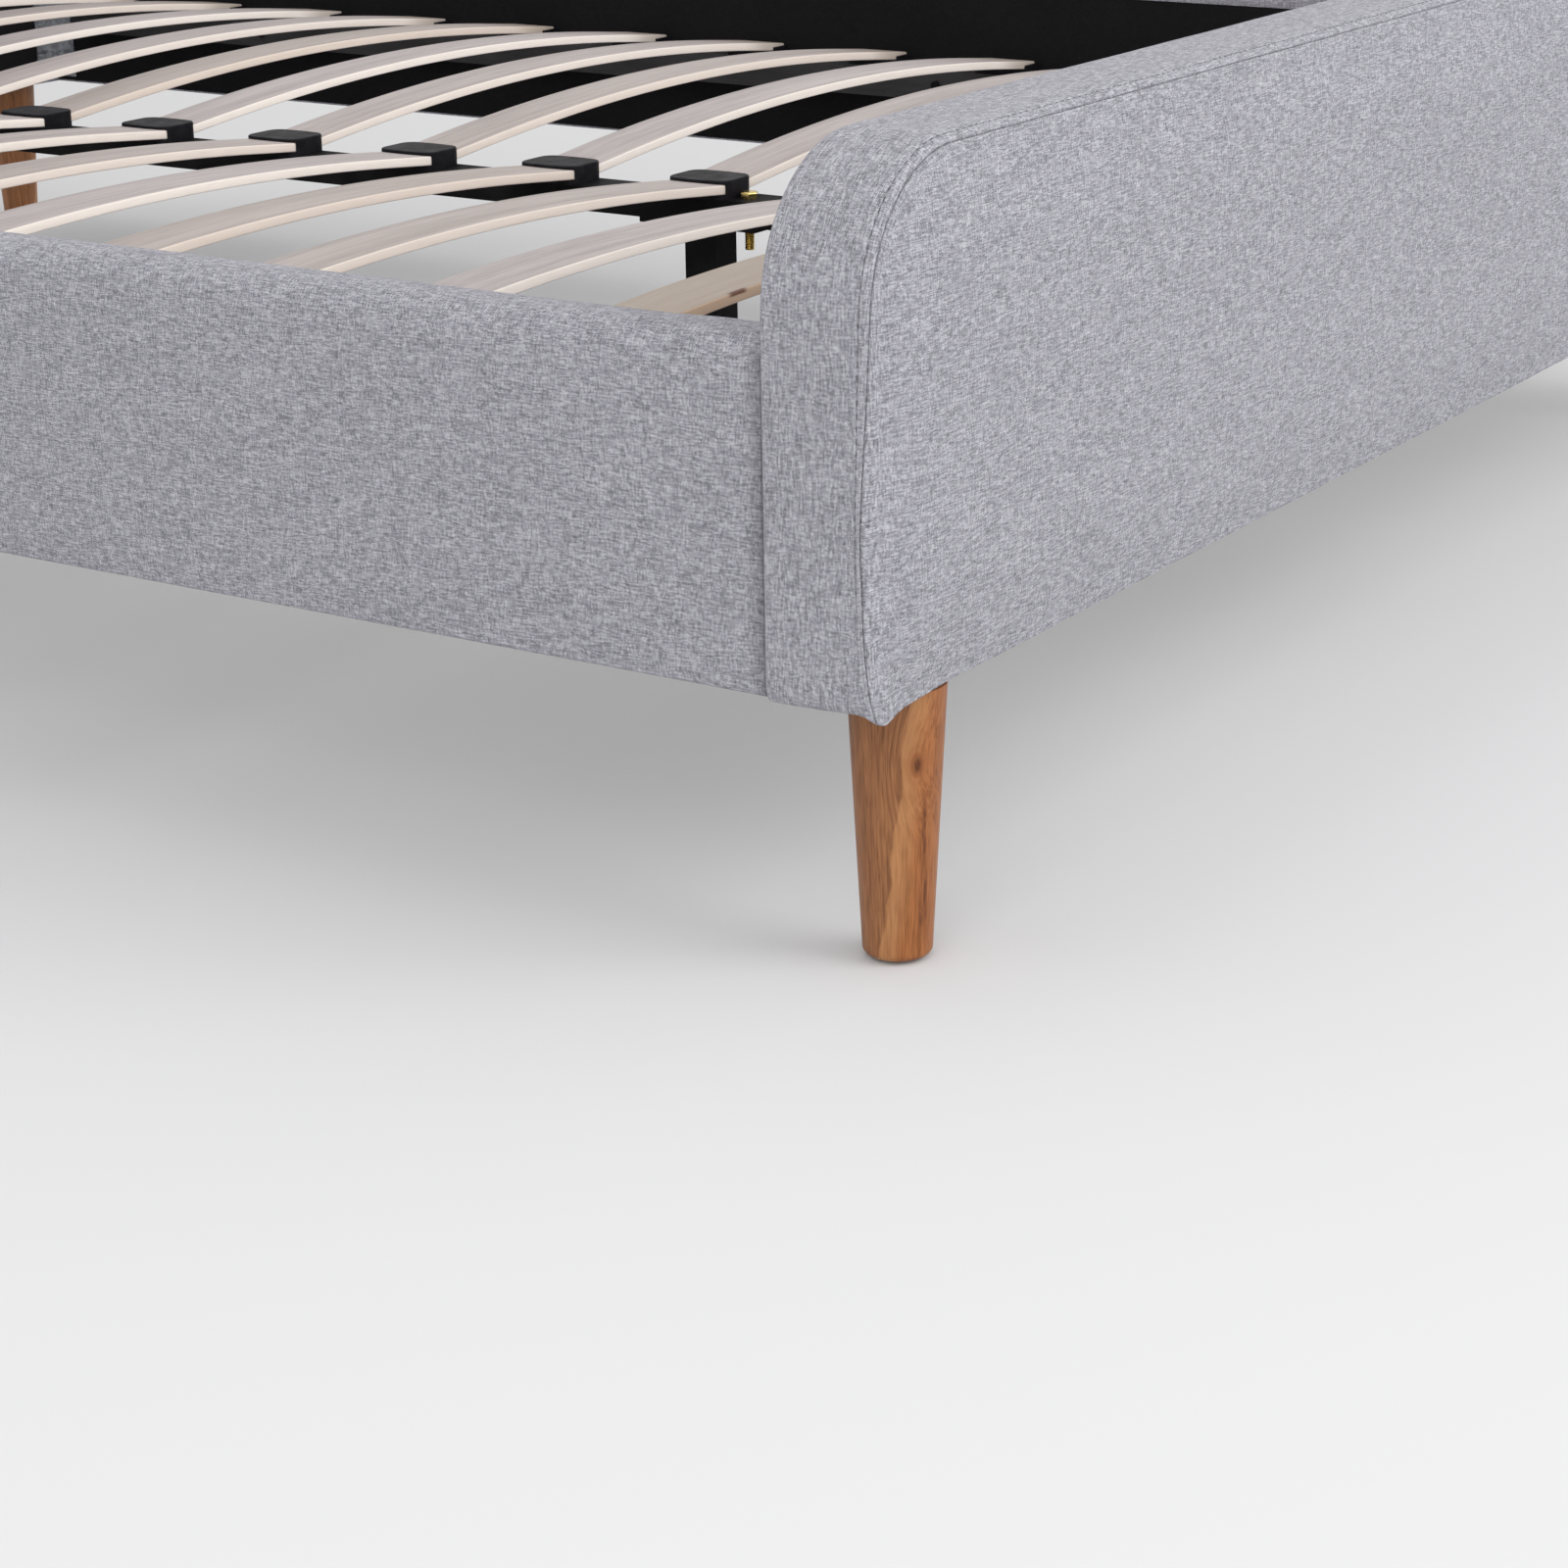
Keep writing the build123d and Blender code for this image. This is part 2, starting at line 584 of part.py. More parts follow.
def corner_bracket(side, face_y, inward, holes):
    """Steel angle that ties a rail to an end board."""
    middle_z = RAIL_BOTTOM + BRACKET_ABOVE_RAIL
    z_low, z_high = middle_z - BRACKET_H / 2, middle_z + BRACKET_H / 2

    def flange(reach_x, reach_y):
        """One leaf of the angle, out from the inner corner."""
        x_low, x_high = sorted((side * RAIL_IN, side * (RAIL_IN - reach_x)))
        y_low, y_high = sorted((face_y, face_y + inward * reach_y))
        return box_between((x_low, y_low, z_low), (x_high, y_high, z_high))

    return flange(BRACKET_T, BRACKET_LEG) + flange(BRACKET_LEG, BRACKET_T) - holes


def build():
    """Every piece of the bed under its own name."""
    holes = fastener_holes()
    rows = range(SLAT_COUNT)
    ends = ((FOOT_INNER_Y, 1), (HEAD_INNER_Y, -1))

    def flip(part):
        """The same piece on the left-hand side."""
        return mirror(part, about=Plane.YZ)

    foot_lining = lining_block(FOOT.core_back_y)
    head_lining = lining_block(HEAD.face_y)
    rail_lining = rail_lining_block()
    nodes = {
        "headboard_frame": group(board_frame(HEAD, holes) + [packer_block() - holes]),
        "headboard_panels": board_panels(HEAD, holes),
        "headboard_foam": board_foam(HEAD) - packer_block(),
        "headboard_cover": board_cover(HEAD, head_lining),
        "footboard_frame": group(board_frame(FOOT, holes)),
        "footboard_panels": board_panels(FOOT, holes),
        "footboard_foam": board_foam(FOOT),
        "footboard_cover": board_cover(FOOT, foot_lining),
        "right_rail_board": rail_board_block() - holes,
        "left_rail_board": flip(rail_board_block()) - holes,
        "right_rail_cover": rail_cover(),
        "left_rail_cover": flip(rail_cover()),
        "black_linings": group(
            [sheet - holes for sheet in (foot_lining, head_lining, rail_lining, flip(rail_lining))]
        ),
        "right_slat_ledge": slat_ledge(holes),
        "left_slat_ledge": flip(slat_ledge(holes)),
    }
    right_slat, holder = slat(), slat_holder()
    for row in rows:
        at_row = Pos(0, slat_y(row), 0)
        nodes[f"slat_right_{row + 1:02d}"] = at_row * right_slat
        nodes[f"slat_left_{row + 1:02d}"] = at_row * flip(right_slat)
    right_holders = [Pos(0, slat_y(row), 0) * holder for row in rows]
    nodes["slat_holders"] = group(right_holders + [flip(shoe) for shoe in right_holders])
    cap = slat_cap()
    nodes["centre_slat_caps"] = group([Pos(0, slat_y(row), 0) * cap for row in rows])
    nodes["centre_rail"] = centre_rail()
    nodes["centre_rail_hangers"] = group([rail_hanger(y, inward, holes) for y, inward in ends])
    for name, place in centre_leg_places().items():
        nodes[f"{name}_centre_leg"] = place * centre_leg()
        nodes[f"{name}_levelling_foot"] = place * levelling_foot()
    nodes["centre_leg_bolts"] = group([place * hex_bolt(LEG_BOLT_L) for place in leg_bolt_places()])
    legs = leg_places()
    for name, place in legs.items():
        nodes[name] = place * turned_leg()
    nodes["leg_studs"] = group([place * leg_stud() for place in legs.values()])
    nodes["leg_inserts"] = group([place * leg_insert() for place in legs.values()])
    nodes["floor_glides"] = group([place * rod(GLIDE_D / 2, 0, GLIDE_T) for place in legs.values()])
    nodes["corner_brackets"] = group(
        [corner_bracket(side, y, inward, holes) for side in (-1, 1) for y, inward in ends]
    )
    nodes["corner_bolts"] = group([place * hex_bolt(length) for place, length in corner_bolt_places()])
    nodes["wood_screws"] = group([place * pan_screw() for place in screw_places()])
    return nodes


os.makedirs("parts", exist_ok=True)
for node_name, shape in build().items():
    export_step(shape, f"parts/{node_name}.step")
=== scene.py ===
"""Upholstered slatted bed: cloth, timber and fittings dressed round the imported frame."""

import json
import logging
import math
from dataclasses import dataclass, field
from enum import Enum
from functools import reduce
from typing import Callable, Iterable

import bmesh
import bpy
import numpy as np
from mathutils import Matrix, Vector, noise

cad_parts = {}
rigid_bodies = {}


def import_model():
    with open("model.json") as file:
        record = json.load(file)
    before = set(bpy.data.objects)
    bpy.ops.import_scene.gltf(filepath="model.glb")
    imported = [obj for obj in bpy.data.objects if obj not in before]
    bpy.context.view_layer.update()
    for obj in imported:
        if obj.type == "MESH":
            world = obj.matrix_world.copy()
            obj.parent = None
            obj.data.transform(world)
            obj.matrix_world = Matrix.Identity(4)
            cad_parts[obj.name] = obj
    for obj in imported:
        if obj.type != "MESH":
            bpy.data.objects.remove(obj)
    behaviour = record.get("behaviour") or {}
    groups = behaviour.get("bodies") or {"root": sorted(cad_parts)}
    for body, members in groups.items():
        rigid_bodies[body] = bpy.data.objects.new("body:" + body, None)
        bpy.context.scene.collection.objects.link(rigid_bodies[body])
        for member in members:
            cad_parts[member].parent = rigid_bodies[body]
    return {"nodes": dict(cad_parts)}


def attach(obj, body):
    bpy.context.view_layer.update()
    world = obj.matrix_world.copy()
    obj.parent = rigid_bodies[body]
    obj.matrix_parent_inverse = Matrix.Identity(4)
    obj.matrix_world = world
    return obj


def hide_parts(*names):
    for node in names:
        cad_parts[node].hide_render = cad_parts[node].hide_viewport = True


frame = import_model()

LOG = logging.getLogger("bed")
MM = 0.001
MERGE = 0.01 * MM
BED = "bed"
CLOTH_MAP = "cloth"
PAINTED_SHADE = "crease"
PLY_PLACE = "ply_place"
TOAST = "toast"

Colour = tuple[float, float, float]
Place = tuple[float, float, float]
Pair = tuple[float, float]
Socket = bpy.types.NodeSocket
Material = bpy.types.Material
Piece = bpy.types.Object


class Slot(str, Enum):
    """Finish slots of the new pieces, as the record names them."""

    CLOTH = "grey_cloth"
    LINING = "black_lining"
    SLAT_WOOD = "slat_wood"
    YELLOW_ZINC = "yellow_zinc"


class Side(Enum):
    """Side of the bed, as the sign of X."""

    LEFT = -1
    RIGHT = 1


class Graph:
    """Node graph of one procedural material."""

    def __init__(self, name: str) -> None:
        """Start a material that has one principled shader.

        Args:
            name: Name of the material.
        """
        self.material = bpy.data.materials.new(name)
        self.material.use_nodes = True
        self.tree = self.material.node_tree
        self.shader = next(n for n in self.tree.nodes if n.type == "BSDF_PRINCIPLED")

    def feed(self, socket: Socket, value: object) -> None:
        """Set a socket to a plain value, or link another socket to it.

        Args:
            socket: Input to feed.
            value: Number, colour, vector or output socket.
        """
        if isinstance(value, Socket):
            self.tree.links.new(value, socket)
        elif socket.type == "RGBA" and isinstance(value, tuple) and len(value) == 3:
            socket.default_value = (*value, 1.0)
        else:
            socket.default_value = value

    def add(self, kind: str, inputs: dict, **settings: object) -> bpy.types.Node:
        """Add a node with its settings and inputs.

        Args:
            kind: Blender's name for the node.
            inputs: Values by input name or number.
            **settings: Node properties.

        Returns:
            The new node.
        """
        node = self.tree.nodes.new(kind)
        for key, value in settings.items():
            setattr(node, key, value)
        for key, value in inputs.items():
            self.feed(node.inputs[key], value)
        return node

    def shade(self, **inputs: object) -> Material:
        """Feed the shader's inputs, with underscores for spaces.

        Args:
            **inputs: Values by input name.

        Returns:
            The finished material.
        """
        for key, value in inputs.items():
            self.feed(self.shader.inputs[key.replace("_", " ")], value)
        return self.material

    def place(self) -> Socket:
        """Object coordinates, in metres."""
        return self.add("ShaderNodeTexCoord", {}).outputs["Object"]

    def cloth_map(self) -> Socket:
        """The piece's own cloth map, in metres."""
        return self.add("ShaderNodeUVMap", {}, uv_map=CLOTH_MAP).outputs["UV"]

    def attribute(self, name: str, output: str = "Fac") -> Socket:
        """A value kept on the piece's points."""
        return self.add("ShaderNodeAttribute", {}, attribute_name=name).outputs[output]

    def stretch(self, vector: Socket, scale: Place, shift: Place = (0, 0, 0), turn: Place = (0, 0, 0)) -> Socket:
        """A coordinate scaled, turned by angles in radians, and shifted."""
        values = {"Vector": vector, "Scale": scale, "Location": shift, "Rotation": turn}
        return self.add("ShaderNodeMapping", values).outputs["Vector"]

    def split(self, vector: Socket) -> list[Socket]:
        """The three parts of a vector."""
        return list(self.add("ShaderNodeSeparateXYZ", {"Vector": vector}).outputs)

    def noise(
        self, vector: Socket, scale: float = 1.0, detail: float = 2.0, rough: float = 0.5, warp: float = 0.0
    ) -> Socket:
        """Soft noise from 0 to 1, with finer layers and a distortion."""
        values = {"Vector": vector, "Scale": scale, "Detail": detail, "Roughness": rough, "Distortion": warp}
        return self.add("ShaderNodeTexNoise", values).outputs[0]

    def yarn(self, along: object, across: object, run: float) -> Socket:
        """Tone of parallel yarns, each dyed in runs of its own.

        Args:
            along: Place along the yarns, counted in yarns.
            across: Place across them.
            run: Usual length of one tone.

        Returns:
            A value from 0 to 1, the same over each run.
        """
        yarn = self.math("FLOOR", across)
        start = self.add("ShaderNodeTexWhiteNoise", {"W": yarn}, noise_dimensions="1D").outputs["Value"]
        place = self.math("FLOOR", self.math("ADD", self.math("DIVIDE", along, run), start))
        cell = self.add("ShaderNodeCombineXYZ", {0: place, 1: yarn}).outputs[0]
        return self.add("ShaderNodeTexWhiteNoise", {"Vector": cell}, noise_dimensions="2D").outputs["Value"]

    def math(self, step: str, a: object, b: object = 0.0) -> Socket:
        """One sum on two values, by Blender's name for it."""
        return self.add("ShaderNodeMath", {0: a, 1: b}, operation=step).outputs[0]

    def times(self, *values: object) -> Socket:
        """Product of the values."""
        return reduce(lambda a, b: self.math("MULTIPLY", a, b), values)

    def vector(self, step: str, a: object, b: Socket | Place = (0, 0, 0)) -> bpy.types.Node:
        """One sum on two vectors, by Blender's name for it."""
        return self.add("ShaderNodeVectorMath", {0: a, 1: b}, operation=step)

    def band(self, value: object, low: float, high: float) -> Socket:
        """Smooth step from 0 at low to 1 at high."""
        values = {"Value": value, 1: low, 2: high, 3: 0.0, 4: 1.0}
        return self.add("ShaderNodeMapRange", values, interpolation_type="SMOOTHSTEP").outputs[0]

    def ramp(self, value: object, stops: list[tuple[float, Colour]]) -> Socket:
        """Colours along a value.

        Args:
            value: Value from 0 to 1.
            stops: Place and colour of each stop.

        Returns:
            The colour.
        """
        node = self.add("ShaderNodeValToRGB", {"Fac": value})
        elements = node.color_ramp.elements
        while len(elements) < len(stops):
            elements.new(1.0)
        for element, (place, colour) in zip(elements, stops):
            element.position = place
            element.color = (*colour, 1.0)
        return node.outputs["Color"]

    def grey(self, value: object, *stops: Pair) -> Socket:
        """Greys along a value, by place and brightness."""
        return self.ramp(value, [(place, (level,) * 3) for place, level in stops])

    def mix(self, share: object, a: object, b: object, blend: str = "MIX") -> Socket:
        """Two colours mixed by the share of the second."""
        values = {0: share, 6: a, 7: b}
        return self.add("ShaderNodeMix", values, data_type="RGBA", blend_type=blend).outputs[2]

    def bump(self, height: object, depth: float, strength: float = 1.0) -> Socket:
        """Relief from a height of 0 to 1, with its depth in metres."""
        values = {"Height": height, "Distance": depth, "Strength": strength}
        return self.add("ShaderNodeBump", values).outputs["Normal"]


@dataclass(frozen=True)
class WovenCloth:
    """Heathered plain weave that follows the piece's cloth map."""

    name: str = "heathered_grey_cloth"
    dark: Colour = (0.1, 0.1, 0.115)
    middle: Colour = (0.277, 0.274, 0.306)
    light: Colour = (0.553, 0.547, 0.59)
    # Painted shade: dark tone laid into seam grooves and joints, where shade falls.
    crease: Colour = (0.03, 0.03, 0.034)
    thread: float = 0.55 * MM
    slub: float = 9.0
    relief: float = 0.16 * MM
    origin: Place = (4000, 7000, 0)

    def material(self) -> Material:
        """Lay out the woven cloth.

        Returns:
            The material.
        """
        g = Graph(self.name)
        chart = g.cloth_map()
        u, v, _ = g.split(g.stretch(chart, (1 / self.thread,) * 3, self.origin))
        weft, warp = g.yarn(u, v, self.slub), g.yarn(v, u, 0.7 * self.slub)
        wave_u = g.math("SINE", g.times(u, math.pi))
        wave_v = g.math("SINE", g.times(v, math.pi))
        over = g.band(g.times(wave_u, wave_v), -0.05, 0.05)
        tone = g.mix(0.35, g.mix(0.45, weft, warp), g.yarn(u, v, 1.0))
        tone = g.mix(0.18, tone, over)
        colour = g.ramp(tone, [(0.16, self.dark), (0.5, self.middle), (0.84, self.light)])
        cloud = g.noise(g.stretch(chart, (9, 16, 1)), detail=4.0)
        wash = g.ramp(cloud, [(0.3, (0.6, 0.6, 0.62)), (0.7, (1.0, 1.0, 1.0))])
        colour = g.mix(0.08, colour, wash, "MULTIPLY")
        # Painted shade: the cloth is darkened along seam grooves and where boards and rails meet.
        colour = g.mix(g.times(g.attribute(PAINTED_SHADE), 0.75), colour, self.crease)
        height = g.mix(over, g.math("ABSOLUTE", wave_v), g.math("ABSOLUTE", wave_u))
        return g.shade(
            Base_Color=colour,
            Roughness=g.grey(tone, (0.0, 0.98), (1.0, 0.84)),
            Normal=g.bump(g.mix(0.4, height, tone), self.relief, 0.28),
            Sheen_Weight=0.06,
            Sheen_Roughness=0.6,
            Specular_IOR_Level=0.15,
        )


@dataclass(frozen=True)
class SewingThread:
    """Twisted thread of the seams."""

    name: str = "grey_thread"
    colour: Colour = (0.08, 0.08, 0.09)

    def material(self) -> Material:
        """Lay out the thread.

        Returns:
            The material.
        """
        g = Graph(self.name)
        twist = g.noise(g.stretch(g.place(), (900, 900, 900)), detail=1.0)
        dark = tuple(0.55 * c for c in self.colour)
        colour = g.ramp(twist, [(0.3, dark), (0.7, self.colour)])
        return g.shade(Base_Color=colour, Roughness=0.75, Normal=g.bump(twist, 0.1 * MM), Sheen_Weight=0.2)


@dataclass(frozen=True)
class LiningCloth:
    """Black spun lining with pressed dots and stray fibres."""

    name: str = "black_spun_lining"
    dark: Colour = (0.002, 0.0018, 0.0022)
    light: Colour = (0.0075, 0.0066, 0.0078)

    def material(self) -> Material:
        """Lay out the lining.

        Returns:
            The material.
        """
        g = Graph(self.name)
        place = g.place()
        fibre = g.noise(g.stretch(place, (700, 120, 160)), detail=3.0, warp=1.4)
        cloud = g.noise(place, 9.0, 3.0)
        values = {"Vector": place, "Scale": 520.0, "Randomness": 0.15}
        dot = g.band(g.add("ShaderNodeTexVoronoi", values).outputs[0], 0.15, 0.4)
        colour = g.ramp(g.mix(0.4, fibre, cloud), [(0.25, self.dark), (0.75, self.light)])
        normal = g.bump(g.mix(0.5, fibre, dot), 0.12 * MM)
        return g.shade(Base_Color=colour, Roughness=0.9, Normal=normal, Sheen_Weight=0.03, Specular_IOR_Level=0.2)


@dataclass(frozen=True)
class SlatPly:
    """Pale bent plywood: figured faces, layered edges lightened by a painted highlight, and painted shade that browns
    the outer ends.
    """

    name: str = "pale_bent_ply"
    face_dark: Colour = (0.265, 0.229, 0.222)
    face_light: Colour = (0.445, 0.392, 0.38)
    # Pale ply edge; its colour is raised above the ply's own tone as a painted highlight.
    edge: Colour = (0.94, 0.86, 0.79)
    glue: Colour = (0.52, 0.41, 0.33)
    # Browner tone of some slats, also used as the painted shade at the outer ends.
    toasted_and_end_shade: Colour = (0.315, 0.25, 0.19)
    toasted_edge: Colour = (0.42, 0.24, 0.12)
    split: Colour = (0.10, 0.026, 0.010)
    split_run: float = 443.0 * MM
    split_half: Pair = (6.0 * MM, 13.0 * MM)
    split_depth: Pair = (4.8 * MM, 6.0 * MM)
    split_breadth: Pair = (-23.6 * MM, -25.0 * MM)
    skin: Pair = (0.1 * MM, 0.7 * MM)
    thick: float = 8.0 * MM
    plies: int = 6
    length: float = 757.0 * MM
    # Run of the painted shade that browns each slat's outer end, by the rail.
    end_shade_run: float = 75.0 * MM

    def material(self) -> Material:
        """Lay out the plywood.

        Returns:
            The material.
        """
        g = Graph(self.name)
        place = g.attribute(PLY_PLACE, "Vector")
        run, breadth, depth = g.split(place)
        row = g.split(g.place())[1]
        seeded = g.add("ShaderNodeCombineXYZ", {2: g.times(row, 3.7)}).outputs[0]
        along = g.vector("ADD", place, seeded).outputs[0]
        figure = g.noise(g.stretch(along, (3.5, 60, 20)), detail=3.0, warp=0.5)
        pores = g.noise(g.stretch(along, (28, 900, 300)), detail=2.0)
        tone = g.mix(0.45, figure, pores)
        face = g.ramp(tone, [(0.3, self.face_dark), (0.62, self.face_light)])
        toast = g.attribute(TOAST)
        face = g.mix(g.times(toast, 0.8), face, self.toasted_and_end_shade)
        layer = g.math("FRACT", g.times(depth, self.plies / self.thick))
        line = g.math("ABSOLUTE", g.math("SUBTRACT", layer, 0.5))
        patchy = g.noise(g.stretch(along, (16, 40, 800)), detail=3.0, rough=0.7)
        line = g.times(g.band(line, 0.36, 0.5), g.band(patchy, 0.42, 0.66))
        grain = g.noise(g.stretch(along, (40, 300, 2600)), detail=2.0)
        # Edge colour: the ply's layers over a painted highlight.
        edge = g.mix(g.times(grain, 0.3), self.edge, self.face_light)
        edge = g.mix(g.times(line, 0.6), edge, self.glue)
        edge = g.mix(g.times(toast, 0.75), edge, self.toasted_edge)
        near, far = self.skin
        inside = g.times(g.band(depth, near, far), g.band(depth, self.thick - near, self.thick - far))
        colour = g.mix(inside, face, edge)
        torn = g.math("ABSOLUTE", g.math("SUBTRACT", run, self.split_run))
        torn = g.times(g.band(torn, *self.split_half[::-1]), g.band(toast, 0.9, 0.95))
        torn = g.times(torn, g.times(g.band(depth, *self.split_depth), g.band(breadth, *self.split_breadth)))
        colour = g.mix(g.times(torn, 0.9), colour, self.split)
        # Painted shade: the outer end is browned towards the rail, where shade falls.
        brown = g.band(run, self.length - self.end_shade_run, self.length - 0.35 * self.end_shade_run)
        colour = g.mix(g.times(brown, 0.5), colour, self.toasted_and_end_shade)
        rough = g.grey(pores, (0.2, 0.62), (0.8, 0.46))
        normal = g.bump(g.mix(0.3, pores, line), 0.12 * MM, 0.6)
        return g.shade(Base_Color=colour, Roughness=rough, Normal=normal)


@dataclass(frozen=True)
class LegWood:
    """Lacquered hardwood of a turned leg: heartwood, paler outer wood, a knot and dark streaks."""

    name: str
    centre: Pair
    turn: float = 0.0
    heart: tuple[Colour, Colour] = ((0.15, 0.056, 0.021), (0.325, 0.14, 0.056))
    outer: tuple[Colour, Colour] = ((0.29, 0.125, 0.046), (0.42, 0.196, 0.079))
    russet: tuple[Colour, Colour] = ((0.17, 0.054, 0.014), (0.335, 0.124, 0.04))
    knot: Colour = (0.1, 0.029, 0.009)
    halo: Colour = (0.23, 0.073, 0.021)
    knot_place: Place = (11.3 * MM, -24.0 * MM, 122.0 * MM)
    swirl: float = 12.0 * MM
    drift: float = 14.0 * MM
    lean: float = 0.112
    russet_edge: Pair = (-8.0 * MM, 5.0 * MM)
    heart_edge: Pair = (-10.4 * MM, -12.0 * MM)
    streaks: tuple[Place, ...] = ((15.2, 24, 112), (12.6, 20, 52))
    streak_half: float = 1.5 * MM
    streak_drift: float = 7.0 * MM

    def material(self) -> Material:
        """Lay out the leg's wood.

        Returns:
            The material.
        """
        g = Graph(self.name)
        x, y = self.centre
        centred = g.stretch(g.place(), (1, 1, 1), (-x, -y, 0))
        own = g.stretch(centred, (1, 1, 1), (0, 0, 0), (0, 0, self.turn))
        offset = g.vector("SUBTRACT", own, self.knot_place).outputs[0]
        near = g.vector("LENGTH", g.stretch(offset, (1, 1, 0.55))).outputs["Value"]
        swirl = g.times(g.band(near, 26 * MM, 2 * MM), self.swirl)
        bent = g.vector("ADD", own, g.add("ShaderNodeCombineXYZ", {0: swirl}).outputs[0]).outputs[0]
        rings = g.noise(g.stretch(bent, (280, 280, 6.0)), detail=3.0, rough=0.55, warp=0.5)
        fine = g.noise(g.stretch(bent, (1100, 1100, 26)), detail=2.0)
        tone = g.mix(0.5, rings, fine)
        brown = g.ramp(tone, [(0.36, self.heart[0]), (0.62, self.heart[1])])
        pale = g.ramp(tone, [(0.34, self.outer[0]), (0.6, self.outer[1])])
        ruddy = g.ramp(tone, [(0.34, self.russet[0]), (0.6, self.russet[1])])
        aside, _, rise = g.split(own)
        drift = g.math("SUBTRACT", g.noise(g.stretch(own, (30, 30, 26)), detail=3.0), 0.5)
        edge = g.math("ADD", aside, g.times(drift, self.drift))
        edge = g.math("SUBTRACT", edge, g.times(rise, self.lean))
        colour = g.mix(g.band(edge, *self.russet_edge), pale, ruddy)
        colour = g.mix(g.band(edge, *self.heart_edge), colour, brown)
        wander = g.math("ADD", aside, g.times(drift, self.streak_drift))
        for place, low, high in self.streaks:
            line = g.math("ABSOLUTE", g.math("SUBTRACT", wander, place * MM))
            line = g.times(g.band(line, self.streak_half, 0.2 * self.streak_half), g.band(fine, 0.36, 0.55))
            ends = g.times(g.band(rise, low * MM, (low + 8) * MM), g.band(rise, high * MM, (high - 20) * MM))
            colour = g.mix(g.times(line, ends, 0.9), colour, self.knot)
        wave = g.math("SINE", g.times(near, 2200.0))
        halo = g.times(g.band(near, 9 * MM, 2 * MM), g.math("ADD", g.times(wave, 0.25), 0.65))
        colour = g.mix(halo, colour, self.halo)
        core = g.times(g.band(near, 3.8 * MM, 1.2 * MM), g.band(fine, 0.1, 0.5))
        colour = g.mix(core, colour, self.knot)
        return g.shade(
            Base_Color=colour,
            Roughness=g.grey(fine, (0.2, 0.5), (0.8, 0.36)),
            Normal=g.bump(tone, 0.1 * MM, 0.5),
            Specular_IOR_Level=0.25,
            Coat_Weight=0.04,
            Coat_Roughness=0.4,
        )


@dataclass(frozen=True)
class PlainTimber:
    """Straight-grained timber of battens and panels."""

    name: str
    dark: Colour
    light: Colour
    roughness: float = 0.7

    def material(self) -> Material:
        """Lay out the timber.

        Returns:
            The material.
        """
        g = Graph(self.name)
        place = g.place()
        grain = g.noise(g.stretch(place, (14, 14, 160)), detail=4.0, warp=0.8)
        pores = g.noise(g.stretch(place, (90, 90, 900)), detail=2.0)
        tone = g.mix(0.4, grain, pores)
        colour = g.ramp(tone, [(0.3, self.dark), (0.7, self.light)])
        return g.shade(Base_Color=colour, Roughness=self.roughness, Normal=g.bump(tone, 0.2 * MM))


@dataclass(frozen=True)
class MouldedPlastic:
    """Fine-grained black moulding with cloudy scuffs."""

    name: str = "black_moulding"
    colour: Colour = (0.004, 0.0035, 0.005)
    worn: Colour = (0.012, 0.011, 0.014)

    def material(self) -> Material:
        """Lay out the moulding.

        Returns:
            The material.
        """
        g = Graph(self.name)
        place = g.place()
        spark = g.noise(place, 2600.0, 1.0)
        cloud = g.noise(place, 70.0, 3.0, 0.6)
        colour = g.ramp(cloud, [(0.35, self.colour), (0.75, self.worn)])
        rough = g.grey(cloud, (0.3, 0.62), (0.7, 0.5))
        return g.shade(Base_Color=colour, Roughness=rough, Normal=g.bump(spark, 0.06 * MM, 0.7), IOR=1.2)


@dataclass(frozen=True)
class CoatedSteel:
    """Black powder coat with a slight orange-peel skin."""

    name: str = "black_powder_coat"
    colour: Colour = (0.0045, 0.0045, 0.005)
    dusty: Colour = (0.013, 0.0125, 0.013)

    def material(self) -> Material:
        """Lay out the powder coat.

        Returns:
            The material.
        """
        g = Graph(self.name)
        place = g.place()
        peel = g.noise(place, 900.0, 2.0)
        cloud = g.noise(place, 25.0, 3.0)
        colour = g.ramp(cloud, [(0.4, self.colour), (0.8, self.dusty)])
        rough = g.grey(peel, (0.3, 0.66), (0.7, 0.54))
        return g.shade(Base_Color=colour, Roughness=rough, Normal=g.bump(peel, 0.05 * MM, 0.6), IOR=1.15)


@dataclass(frozen=True)
class PlatedSteel:
    """Zinc plate with cloudy passivation and rolling marks."""

    name: str
    bright: Colour
    dull: Colour

    def material(self) -> Material:
        """Lay out the zinc plate.

        Returns:
            The material.
        """
        g = Graph(self.name)
        place = g.place()
        cloud = g.noise(place, 120.0, 3.0, 0.6, 0.6)
        marks = g.noise(g.stretch(place, (60, 60, 1500)), detail=2.0)
        colour = g.ramp(cloud, [(0.3, self.dull), (0.7, self.bright)])
        rough = g.grey(g.mix(0.5, cloud, marks), (0.3, 0.34), (0.7, 0.16))
        return g.shade(Base_Color=colour, Roughness=rough, Metallic=1.0, Normal=g.bump(marks, 0.03 * MM, 0.5))


@dataclass(frozen=True)
class PressedFelt:
    """Short-fibred felt of the floor glides."""

    name: str = "brown_felt"
    dark: Colour = (0.075, 0.055, 0.045)
    light: Colour = (0.22, 0.18, 0.15)

    def material(self) -> Material:
        """Lay out the felt.

        Returns:
            The material.
        """
        g = Graph(self.name)
        fibre = g.noise(g.place(), 1500.0, 3.0, 0.6, 1.2)
        colour = g.ramp(fibre, [(0.3, self.dark), (0.7, self.light)])
        return g.shade(Base_Color=colour, Roughness=0.95, Normal=g.bump(fibre, 0.3 * MM), Sheen_Weight=0.3)


